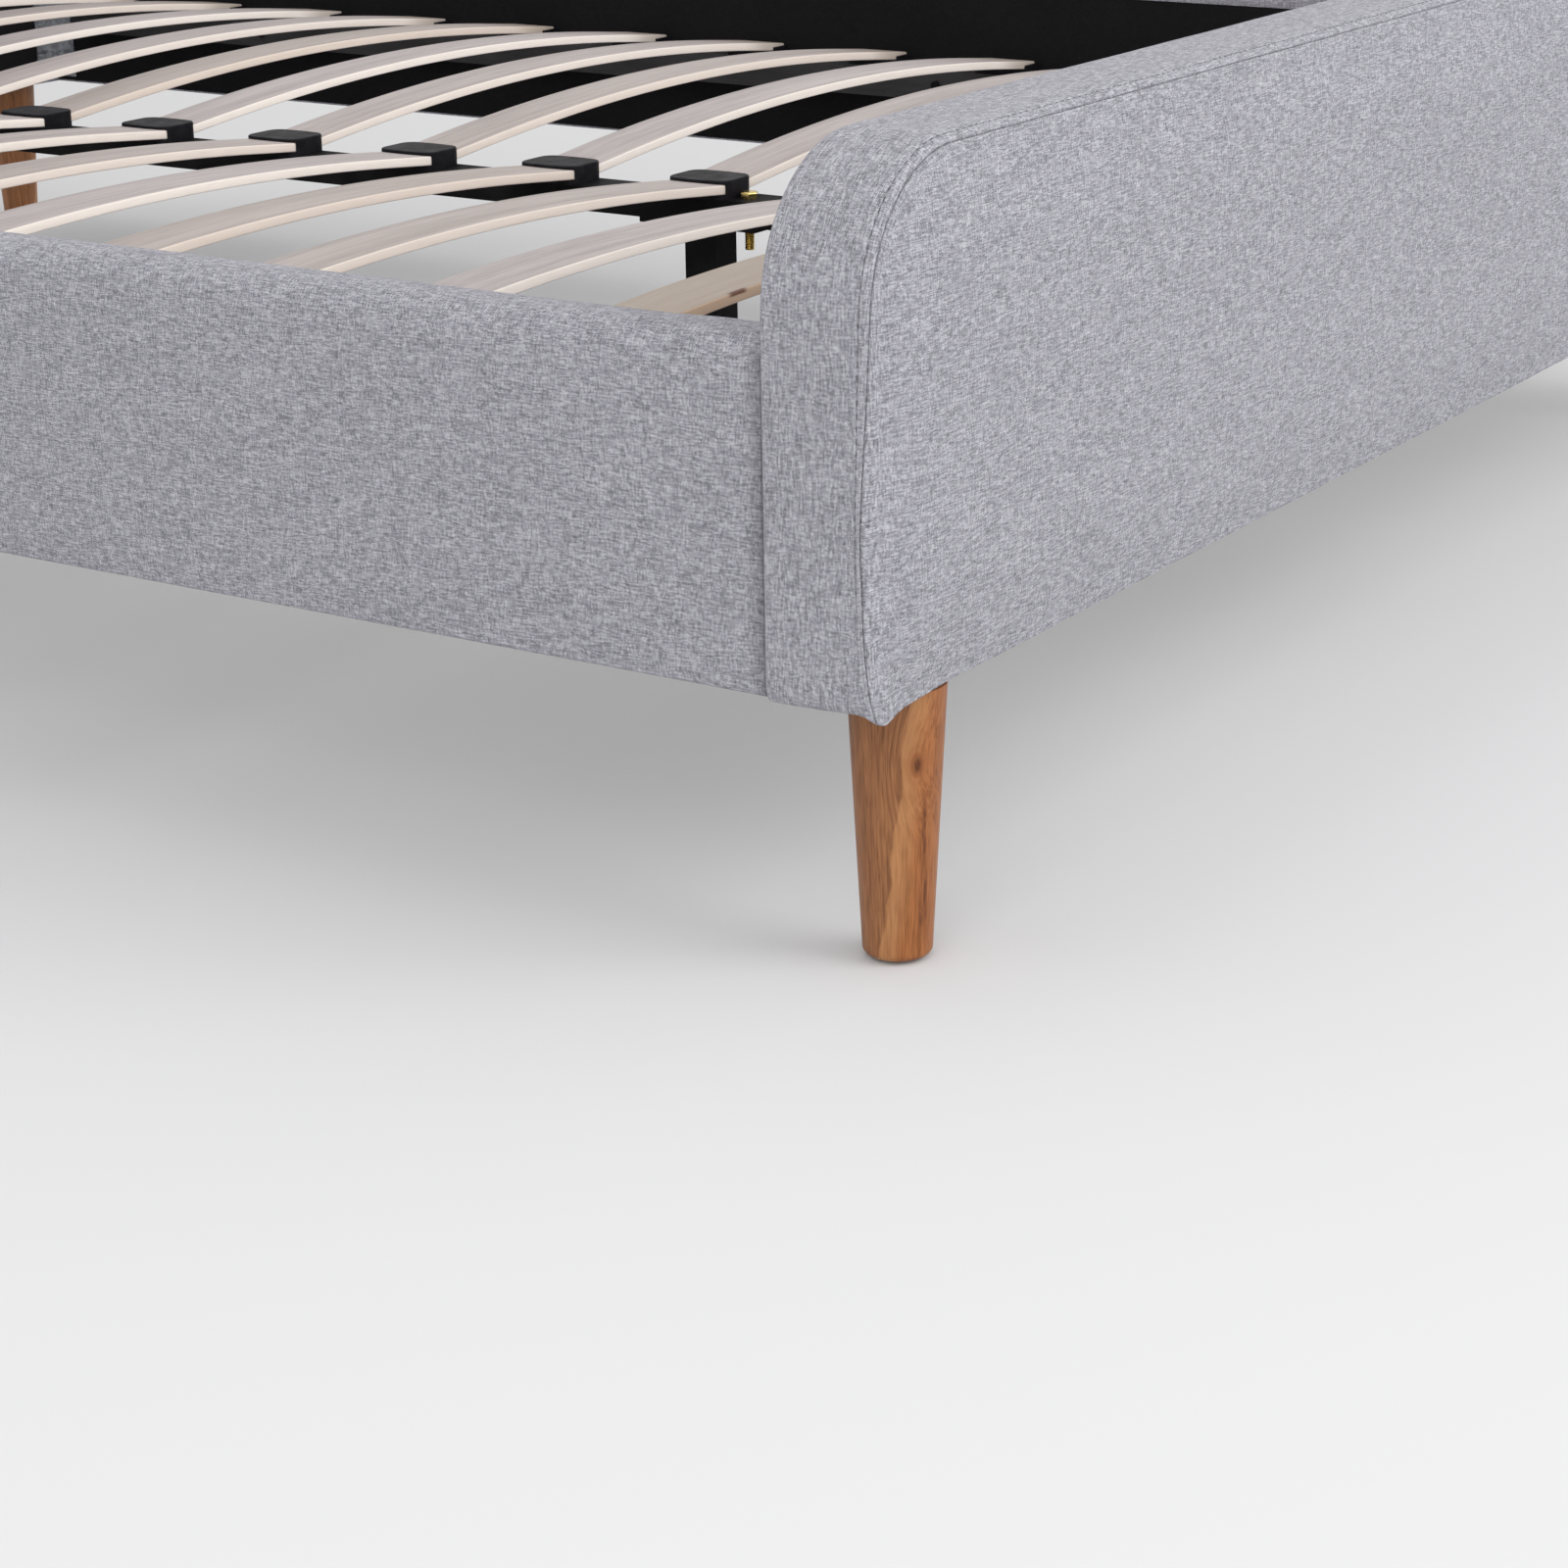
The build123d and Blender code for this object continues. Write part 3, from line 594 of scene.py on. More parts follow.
class Bench:
    """Hand-modelling steps on one piece at a time."""

    @staticmethod
    def clear() -> None:
        """Leave nothing selected."""
        if bpy.context.mode != "OBJECT":
            bpy.ops.object.mode_set(mode="OBJECT")
        for thing in bpy.context.view_layer.objects:
            thing.select_set(False)

    @staticmethod
    def focus(piece: Piece) -> None:
        """Select one piece alone.

        Args:
            piece: Piece to select.
        """
        Bench.clear()
        piece.select_set(True)
        bpy.context.view_layer.objects.active = piece

    @staticmethod
    def edit(piece: Piece) -> None:
        """Open one piece for editing."""
        Bench.focus(piece)
        bpy.ops.object.mode_set(mode="EDIT")

    @staticmethod
    def done() -> None:
        """Close the piece being edited."""
        bpy.ops.object.mode_set(mode="OBJECT")

    @staticmethod
    def named(name: str) -> Piece:
        """Name the piece just added.

        Args:
            name: Its name.

        Returns:
            The piece.
        """
        piece = bpy.context.active_object
        piece.name = piece.data.name = name
        return piece

    @staticmethod
    def pick(piece: Piece, mode: str, test: Callable[[object], bool]) -> None:
        """Select the parts of the open piece that pass a test.

        Args:
            piece: Piece in edit mode.
            mode: VERT, EDGE or FACE.
            test: Says whether a part is wanted.
        """
        bpy.ops.mesh.select_mode(type=mode)
        bpy.ops.mesh.select_all(action="DESELECT")
        net = bmesh.from_edit_mesh(piece.data)
        parts = {"VERT": net.verts, "EDGE": net.edges, "FACE": net.faces}[mode]
        for part in parts:
            if test(part):
                part.select_set(True)
        net.select_flush_mode()
        bmesh.update_edit_mesh(piece.data)

    @staticmethod
    def grow(step: Place) -> None:
        """Extrude what is selected along a step."""
        bpy.ops.mesh.extrude_region_move(TRANSFORM_OT_translate={"value": step})

    @staticmethod
    def tidy(piece: Piece) -> None:
        """Merge doubles and turn every face outwards.

        Args:
            piece: Piece to clean.
        """
        Bench.edit(piece)
        bpy.ops.mesh.select_all(action="SELECT")
        bpy.ops.mesh.remove_doubles(threshold=MERGE)
        bpy.ops.mesh.normals_make_consistent(inside=False)
        Bench.done()

    @staticmethod
    def settle(piece: Piece) -> None:
        """Put the piece's place into its mesh."""
        Bench.focus(piece)
        bpy.ops.object.transform_apply(location=True, rotation=True, scale=True)

    @staticmethod
    def finish(piece: Piece, kind: str, **settings: object) -> None:
        """Add one modifier and apply it.

        Args:
            piece: Piece to change.
            kind: Blender's name for the modifier.
            **settings: Modifier properties.
        """
        Bench.focus(piece)
        modifier = piece.modifiers.new(kind.lower(), kind)
        for key, value in settings.items():
            setattr(modifier, key, value)
        bpy.ops.object.modifier_apply(modifier=modifier.name)

    @staticmethod
    def smooth(piece: Piece, angle: float = 40.0) -> None:
        """Shade smooth up to an angle in degrees."""
        Bench.focus(piece)
        bpy.ops.object.shade_smooth_by_angle(angle=math.radians(angle))

    @staticmethod
    def link(name: str, data: bpy.types.ID) -> Piece:
        """Put new data into the scene.

        Args:
            name: Name of the object.
            data: Mesh, lamp or camera.

        Returns:
            The new object, at the origin.
        """
        piece = bpy.data.objects.new(name, data)
        bpy.context.scene.collection.objects.link(piece)
        return piece

    @staticmethod
    def from_arrays(name: str, points: np.ndarray, faces: list, charts: np.ndarray | None = None) -> Piece:
        """Soft piece from points, faces and cloth-map corners.

        Args:
            name: Name of the piece.
            points: Places in metres.
            faces: Corner numbers of each face.
            charts: Cloth-map place of every face corner.

        Returns:
            The new piece, in the scene.
        """
        mesh = bpy.data.meshes.new(name)
        mesh.from_pydata([tuple(p) for p in points], [], [tuple(int(n) for n in f) for f in faces])
        if charts is not None:
            layer = mesh.uv_layers.new(name=CLOTH_MAP)
            layer.data.foreach_set("uv", np.asarray(charts, np.float32).ravel())
        net = bmesh.new()
        net.from_mesh(mesh)
        bmesh.ops.recalc_face_normals(net, faces=net.faces)
        net.to_mesh(mesh)
        net.free()
        return Bench.link(name, mesh)

    @staticmethod
    def mark(piece: Piece, name: str, values: Iterable[float]) -> None:
        """Keep one number on each point of a piece."""
        layer = piece.data.attributes.new(name, "FLOAT", "POINT")
        layer.data.foreach_set("value", np.asarray(list(values), np.float32))

    @staticmethod
    def dress(piece: Piece, material: Material, slot: Slot, body: str = BED) -> None:
        """Give a piece its material and the body that it rides on.

        Args:
            piece: Finished piece.
            material: Its material.
            slot: The record's slot; not used.
            body: Body that carries it.
        """
        piece.data.materials.clear()
        piece.data.materials.append(material)
        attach(piece, body)
        LOG.info("%s: %d faces", piece.name, len(piece.data.polygons))


def ramp_up(distance: np.ndarray, run: float, power: float = 2.2) -> np.ndarray:
    """Share from 0 to 1 of a soft swell that rises over a run in from its edge."""
    return 1 - (1 - np.clip(distance / run, 0, 1)) ** power


def ripple(points: np.ndarray, pitch: float, seed: float) -> np.ndarray:
    """Soft uneven waves from -1 to 1, one value per point."""
    return np.array([noise.noise(Vector(p) / pitch + Vector((seed, seed, seed))) for p in points])


def lengths(line: np.ndarray) -> np.ndarray:
    """Distance along a line of points, from 0 at its start."""
    return np.concatenate([[0], np.cumsum(np.linalg.norm(np.diff(line, axis=0), axis=1))])


def cells(grid: np.ndarray) -> np.ndarray:
    """The four corners of every cell of a grid, in order round the cell."""
    return np.stack([grid[:-1, :-1], grid[1:, :-1], grid[1:, 1:], grid[:-1, 1:]], 2)


@dataclass
class Padding:
    """Cloth pulled over foam: how it swells when it settles."""

    pressure: float = 2.0
    frames: int = 16
    cap: float = 2.5 * MM
    slack: float = -0.004
    quality: int = 6
    mass: float = 0.35
    stretch: float = 18.0
    shear: float = 8.0
    bending: float = 1.5

    def swell(self, piece: Piece, loose: np.ndarray) -> None:
        """Let the loose part of a cover fill out, and keep the result.

        Args:
            piece: Cover to settle.
            loose: From 0, held, to 1, free, for every point.
        """
        rest = np.zeros(len(piece.data.vertices) * 3)
        piece.data.vertices.foreach_get("co", rest)
        rest = rest.reshape(-1, 3)
        held = piece.vertex_groups.new(name="held")
        for number, share in enumerate(loose):
            held.add([number], float(1 - share), "REPLACE")
        modifier = piece.modifiers.new("cloth", "CLOTH")
        cloth = modifier.settings
        cloth.vertex_group_mass = held.name
        cloth.quality = self.quality
        cloth.mass = self.mass
        cloth.tension_stiffness = cloth.compression_stiffness = self.stretch
        cloth.shear_stiffness = self.shear
        cloth.bending_stiffness = self.bending
        cloth.use_pressure = True
        cloth.uniform_pressure_force = self.pressure
        cloth.shrink_min = self.slack
        cloth.effector_weights.gravity = 0.0
        modifier.collision_settings.use_collision = False
        modifier.point_cache.frame_end = self.frames
        scene = bpy.context.scene
        for number in range(1, self.frames + 1):
            scene.frame_set(number)
        shaped = piece.evaluated_get(bpy.context.evaluated_depsgraph_get())
        moved = np.zeros(len(rest) * 3)
        shaped.data.vertices.foreach_get("co", moved)
        shift = moved.reshape(-1, 3) - rest
        length = np.linalg.norm(shift, axis=1, keepdims=True)
        shift *= np.minimum(1.0, self.cap / np.maximum(length, 1e-9))
        piece.modifiers.remove(modifier)
        piece.vertex_groups.remove(held)
        scene.frame_set(1)
        piece.data.vertices.foreach_set("co", (rest + shift).ravel())
        piece.data.update()
        LOG.info("%s settled, %.1f mm at most", piece.name, np.minimum(length, self.cap).max() / MM)


@dataclass
class Stitching:
    """Row of stitches laid along a line on a cover."""

    length: float = 4.2 * MM
    gap: float = 2.6 * MM
    radius: float = 0.32 * MM
    sides: int = 6
    lift: float = 0.1 * MM

    def one(self) -> tuple[np.ndarray, list[list[int]]]:
        """Model one stitch along X.

        Returns:
            Its points, and the corner numbers of its faces.
        """
        Bench.clear()
        bpy.ops.mesh.primitive_cylinder_add(
            vertices=self.sides, radius=self.radius, depth=0.5 * self.length, rotation=(0, math.pi / 2, 0)
        )
        piece = Bench.named("stitch")
        Bench.settle(piece)
        Bench.edit(piece)
        for side in (-1, 1):
            Bench.pick(piece, "FACE", lambda f, s=side: f.normal.x * s > 0.9)
            Bench.grow((side * 0.25 * self.length, 0, -0.9 * self.radius))
            middle = (side * 0.5 * self.length, 0, -0.9 * self.radius)
            bpy.ops.transform.resize(value=(1, 0.5, 0.5), center_override=middle)
        Bench.done()
        points = np.array([v.co for v in piece.data.vertices])
        faces = [list(p.vertices) for p in piece.data.polygons]
        bpy.data.objects.remove(piece)
        return points, faces

    def row(self, name: str, line: np.ndarray, cover: Piece) -> Piece:
        """Sew a row of stitches onto a cover.

        Args:
            name: Name of the row.
            line: Places along the row.
            cover: Cover that the stitches lie on.

        Returns:
            The row as one piece.
        """
        shape, faces = self.one()
        along = lengths(line)
        starts = np.arange(self.gap, along[-1] - self.length, self.length + self.gap)
        points, corners = [], []
        for start in starts:
            ends = np.stack([np.interp((start, start + self.length), along, axis) for axis in line.T], 1)
            _, spot, up, _ = cover.closest_point_on_mesh(Vector((ends[0] + ends[1]) / 2))
            ahead = Vector(ends[1] - ends[0]).normalized()
            aside = up.cross(ahead).normalized()
            up = ahead.cross(aside)
            base = len(points) * len(shape)
            points.append(shape @ np.array([ahead, aside, up]) + np.array(spot + up * self.lift))
            corners += [[base + n for n in face] for face in faces]
        piece = Bench.from_arrays(name, np.concatenate(points), corners)
        Bench.smooth(piece, 60)
        return piece


# Front edge of a board: angle from the face, lift of the cloth in mm, and painted shade in the seam grooves.
EDGE_TURN = (
    (0, 0.0, 0.0), (10, 0.0, 0.0), (18, 0.15, 0.0), (24, 0.3, 0.0), (28, 0.05, 0.08),
    (30, -1.0, 0.5), (32, 0.05, 0.08), (37, 0.35, 0.0), (47, 0.5, 0.0), (57, 0.4, 0.0),
    (63, 0.2, 0.0), (66, -0.4, 0.22), (69, 0.2, 0.0), (75, 0.4, 0.0), (90, 0.4, 0.0),
)
SEAM_ROW, STITCH_ROW = 5, 11
# Back edge of a board: angle from the boxing, and painted shade where the board meets the rail.
BACK_TURN = ((0, 0.0), (18, 0.0), (36, 0.0), (54, 0.25), (72, 0.8), (90, 1.0))
BOXING_ROWS = (0.08, 0.22, 0.4, 0.6, 0.8, 0.94)
# Drift of the sewn edge in degrees, by height in mm.
SEAM_HEIGHTS = (164, 177, 195, 212, 244, 262, 300, 340, 382)
SEAM_DRIFT = (-17, 8, 20, 27, 32, 38, 27, 12, 0)


@dataclass
class EndBoard:
    """Padded end board: cover of face, boxing, back and underside, with its seams."""

    name: str
    face_y: float
    back_y: float
    top: float
    corner_r: float
    crown_bottom: float
    pitch: float
    lined_face: bool = False
    half_w: float = 820.0
    bottom: float = 164.0
    edge_r: float = 10.0
    back_r: float = 6.0
    crown: float = 5.0
    crown_run: float = 70.0
    lining_t: float = 0.8
    boxing_lift: float = 0.4
    boxing_bow: float = 1.0
    gather_pitch: float = 19.0
    drape_pitch: float = 95.0
    tuck_drop: float = 10.5
    low_share: float = 0.25
    corner_step: float = 7.5
    low_rows: tuple[float, ...] = (0.0, 3.0, 7.0, 12.0, 18.0)
    stitch_start: float = 62.0
    seam_start: float = 2.0
    padding: Padding = field(default_factory=Padding)
    cover: Piece = field(init=False)
    number: np.ndarray = field(init=False)
    places: np.ndarray = field(init=False)
    profile: list[Place] = field(init=False)

    def section(self) -> list[Place]:
        """Draw the boxing's profile from front to back.

        Returns:
            Inset, depth and painted shade of every row.
        """
        face = self.face_y + (self.lining_t if self.lined_face else 0)
        back = self.back_y - (0 if self.lined_face else self.lining_t)
        rows = []
        for angle, lift, crease in EDGE_TURN:
            inset, depth = self.on_edge(math.radians(angle), lift)
            rows.append((float(inset), face + float(depth), crease))
        first, last = face + self.edge_r, back - self.back_r
        for share in BOXING_ROWS:
            bow = self.boxing_lift + self.boxing_bow * math.sin(math.pi * share)
            rows.append((-bow, first + share * (last - first), 0.0))
        for degrees, crease in BACK_TURN:
            turn = math.radians(degrees)
            inset = self.back_r * (1 - math.cos(turn)) - self.boxing_lift
            rows.append((inset, back - self.back_r * (1 - math.sin(turn)), crease))
        return rows

    def on_edge(self, turn: np.ndarray | float, lift: float) -> tuple[np.ndarray, np.ndarray]:
        """Inset and depth of the cloth at an angle round the front edge, lifted off the plain rounding."""
        reach = self.edge_r + lift
        return self.edge_r - reach * np.sin(turn), self.edge_r - reach * np.cos(turn)

    def wander(self, solid: np.ndarray) -> None:
        """Let the sewn edge drift round the upright corners, and back to the front at the foot.

        Args:
            solid: Places by column, row and layer, which are moved.
        """
        for layer, (angle, lift, _) in enumerate(EDGE_TURN):
            z = solid[0, :, layer, 2]
            low = z < SEAM_HEIGHTS[-1]
            lean = np.interp(z[low], SEAM_HEIGHTS, SEAM_DRIFT) * min(angle / 30, (90 - angle) / 60)
            inset, depth = self.on_edge(np.radians(angle + lean), lift)
            for column, sign in ((0, -1), (-1, 1)):
                solid[column, low, layer, 0] = sign * (self.half_w - inset)
                solid[column, low, layer, 1] = self.face_y + depth

    def sheet(self, inset: float, rise: float) -> np.ndarray:
        """Grid over the board's outline, drawn in by an inset.

        Args:
            inset: Distance in from the sides and the top.
            rise: Distance up from the underside.

        Returns:
            X and Z of every grid point, by column and row.
        """
        half, top, low = self.half_w - inset, self.top - inset, self.bottom + rise
        radius = self.corner_r - inset
        arcs = max(4, round(self.corner_r * math.pi / 4 / self.corner_step))
        sides = round((self.top - self.corner_r - self.bottom - self.low_rows[-1]) / self.pitch)
        across = round(2 * (self.half_w - self.corner_r) / self.pitch)
        hub_x, hub_z = half - radius, top - radius

        def bend(start: float, end: float) -> np.ndarray:
            """Part of the left corner, between two angles."""
            angle = np.radians(np.linspace(start, end, arcs + 1))
            return np.stack([-hub_x + radius * np.cos(angle), hub_z + radius * np.sin(angle)], 1)

        close = low + np.array(self.low_rows)
        climb = np.concatenate([close[:-1], np.linspace(close[-1], hub_z, sides + 1)])
        rising = np.stack([np.full(len(climb), -half), climb], 1)
        left = np.concatenate([rising[:-1], bend(180, 135)])
        arch = bend(135, 90)
        level = np.stack([np.linspace(-hub_x, hub_x, across + 1), np.full(across + 1, top)], 1)
        upper = np.concatenate([arch[:-1], level, (arch * (-1, 1))[::-1][1:]])
        right = left * (-1, 1)
        u, v = lengths(upper), lengths(left)
        u, v = (u / u[-1])[:, None, None], (v / v[-1])[None, :, None]
        lower = np.stack([half * (2 * u[:, 0, 0] - 1), np.full(len(upper), low)], 1)
        ruled = (1 - v) * lower[:, None] + v * upper[:, None] + (1 - u) * left[None] + u * right[None]
        corners = (1 - v) * ((1 - u) * lower[0] + u * lower[-1]) + v * ((1 - u) * upper[0] + u * upper[-1])
        return ruled - corners

    def face_swell(self, grid: np.ndarray) -> np.ndarray:
        """Swell the padded face over its grid.

        Args:
            grid: X and Z of every grid point.

        Returns:
            Height of the swell at every point.
        """
        x, z = grid[..., 0], grid[..., 1]
        inset = self.edge_r
        reach = self.corner_r - inset
        past_x = np.abs(x) - (self.half_w - inset - reach)
        past_z = z - (self.top - inset - reach)
        rounded = (past_x > 0) & (past_z > 0)
        within = np.where(rounded, np.hypot(past_x, past_z), np.maximum(past_x, past_z))
        sides = ramp_up(reach - within, self.crown_run)
        foot = ramp_up(z - self.crown_bottom - inset, self.crown_run)
        return self.crown * sides * foot

    def solid(self) -> np.ndarray:
        """Stack the outline's grids from the face to the back.

        Returns:
            Places in millimetres, by column, row and layer.
        """
        layers = []
        for inset, y, _ in self.profile:
            rise = self.low_share * max(inset, 0.0) if y < (self.face_y + self.back_y) / 2 else 0.0
            grid = self.sheet(inset, rise)
            layers.append(np.insert(grid, 1, y, axis=2))
        solid = np.stack(layers, 2)
        solid[:, :, 0, 1] -= self.face_swell(solid[:, :, 0][..., [0, 2]])
        if not self.lined_face:
            self.wander(solid)
        return solid

    def wrap(self, solid: np.ndarray) -> tuple[np.ndarray, np.ndarray]:
        """Close the shell with faces, and lay the cloth out flat on them.

        Args:
            solid: Places by column, row and layer.

        Returns:
            Corner numbers of the faces, and the cloth-map place of every corner.
        """
        columns, rows, depth = (size - 1 for size in solid.shape[:3])
        girth = self.girth(solid)
        over = lengths(np.array(self.profile)[:, :2])
        x, y, z = solid[..., 0], solid[..., 1], solid[..., 2]
        n = self.number
        grids = [
            (n[:, :, 0], x[:, :, 0], z[:, :, 0]),
            (n[:, :, depth], -x[:, :, depth], z[:, :, depth]),
            (n[:, 0], x[:, 0], y[:, 0]),
        ]
        strips = ((n[0], 0, rows), (n[:, rows], rows, columns), (n[columns, ::-1], rows + columns, rows))
        for ids, start, count in strips:
            u, v = np.meshgrid(girth[start : start + count + 1], over, indexing="ij")
            grids.append((ids, u, v))
        faces = [cells(ids).reshape(-1, 4) for ids, _, _ in grids]
        charts = [cells(np.stack([u, v], -1)).reshape(-1, 2) for _, u, v in grids]
        return np.concatenate(faces), np.concatenate(charts)

    def build(self) -> None:
        """Make the closed cover and let its face settle."""
        self.profile = self.section()
        solid = self.solid()
        shell = np.zeros(solid.shape[:3], bool)
        shell[[0, -1]] = shell[:, [0, -1]] = True
        shell[:, :, [0, -1]] = True
        self.number = np.full(shell.shape, -1)
        self.number[shell] = np.arange(shell.sum())
        faces, charts = self.wrap(solid)
        points = self.pucker(solid[shell])
        # Painted shade per point: the darkest value of the rows that it lies on.
        crease = np.zeros(len(points))
        for layer, (_, _, dark) in enumerate(self.profile):
            ring = self.ring(layer)
            crease[ring] = np.maximum(crease[ring], dark)
        self.places = points * MM
        self.cover = Bench.from_arrays(self.name, self.places, faces, charts * MM)
        Bench.mark(self.cover, PAINTED_SHADE, crease)
        loose = np.zeros(len(points))
        loose[self.number[1:-1, 1:-1, 0].ravel()] = 1.0
        if self.lined_face:
            loose[points[:, 2] < self.crown_bottom + 12] = 0.0
        self.padding.swell(self.cover, loose)
        Bench.finish(self.cover, "SUBSURF", levels=1, render_levels=1)
        Bench.smooth(self.cover, 80)

    def girth(self, solid: np.ndarray) -> np.ndarray:
        """Distance along the outline, up the left side, over the top and down the right."""
        middle = solid.shape[2] // 2
        return lengths(np.concatenate([solid[0, :, middle], solid[1:, -1, middle], solid[-1, ::-1, middle][1:]]))

    def ring(self, layer: int) -> np.ndarray:
        """Numbers of the points round one layer, from lower left to lower right."""
        n = self.number
        return np.concatenate([n[0, :, layer], n[1:, -1, layer], n[-1, ::-1, layer][1:]])

    def pucker(self, points: np.ndarray) -> np.ndarray:
        """Uneven cloth: gathered seams, a wavy lower edge and a tuck at each front corner.

        Args:
            points: Places in millimetres.

        Returns:
            The places, moved.
        """
        moved = points.copy()
        waves = ripple(points, self.gather_pitch, 3.1)
        broad = ripple(points, self.drape_pitch, 9.4)
        behind = points[:, 1] - self.face_y
        near_seam = np.exp(-((behind - 5.0) / 8.0) ** 2)
        past_x = np.abs(points[:, 0]) - (self.half_w - self.corner_r)
        past_z = points[:, 2] - (self.top - self.corner_r)
        at_corner = np.clip(np.minimum(past_x, past_z) / 30.0, 0, 1)
        out_x = np.sign(points[:, 0]) * (past_x > 0) * np.clip(past_x / self.corner_r, 0, 1)
        out_z = np.clip(past_z / self.corner_r, 0, 1)
        swell = waves * near_seam * (0.1 + 0.35 * at_corner) + 0.3 * broad
        moved[:, 0] += out_x * swell
        moved[:, 2] += out_z * swell
        edge = np.clip(1 - (points[:, 2] - self.bottom) / 26.0, 0, 1)
        on_front = np.clip(1 - behind / 30.0, 0, 1)
        moved[:, 2] += edge * on_front * 0.7 * broad
        if not self.lined_face:
            aside = self.half_w - np.abs(points[:, 0])
            low = points[:, 2] - self.bottom
            turned = np.clip(1 - low / 9.0, 0, 1) ** 2 * np.clip(1 - aside / 12.0, 0, 1)
            turned = turned * np.clip((behind - 1.0) / 6.0, 0, 1)
            moved[:, 0] -= np.sign(points[:, 0]) * 4.5 * turned
            moved[:, 2] += np.interp(behind, (0, 60), (3.0, 0.6)) * turned
            hang = np.interp(aside, (4.0, 17.0, 31.0, 90.0), (0.0, 1.0, 0.3, 0.0))
            tuck = hang * np.clip(1 - behind / 14.0, 0, 1) * np.clip(1 - low / 22.0, 0, 1)
            moved[:, 2] -= self.tuck_drop * tuck
        return moved

    def line(self, layer: int, start: float) -> np.ndarray:
        """Places round the board along one layer, from a height above the underside, in metres."""
        places = self.places[self.ring(layer)]
        return places[places[:, 2] > (self.bottom + start) * MM]

    def dress(self, cloth: Material, thread: Material, *nodes: str) -> None:
        """Sew the board's stitches and finish every piece.

        Args:
            cloth: Material of the cover.
            thread: Material of the stitches.
            *nodes: Solids that the cover stands for.
        """
        Bench.dress(self.cover, cloth, Slot.CLOTH)
        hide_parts(*nodes)
        fine = Stitching(3.2 * MM, 1.8 * MM, 0.3 * MM)
        rows = (("topstitch", STITCH_ROW, self.stitch_start, Stitching()), ("seam", SEAM_ROW, self.seam_start, fine))
        for label, layer, start, stitching in rows:
            row = stitching.row(f"{self.name}_{label}", self.line(layer, start), self.cover)
            Bench.dress(row, thread, Slot.CLOTH)


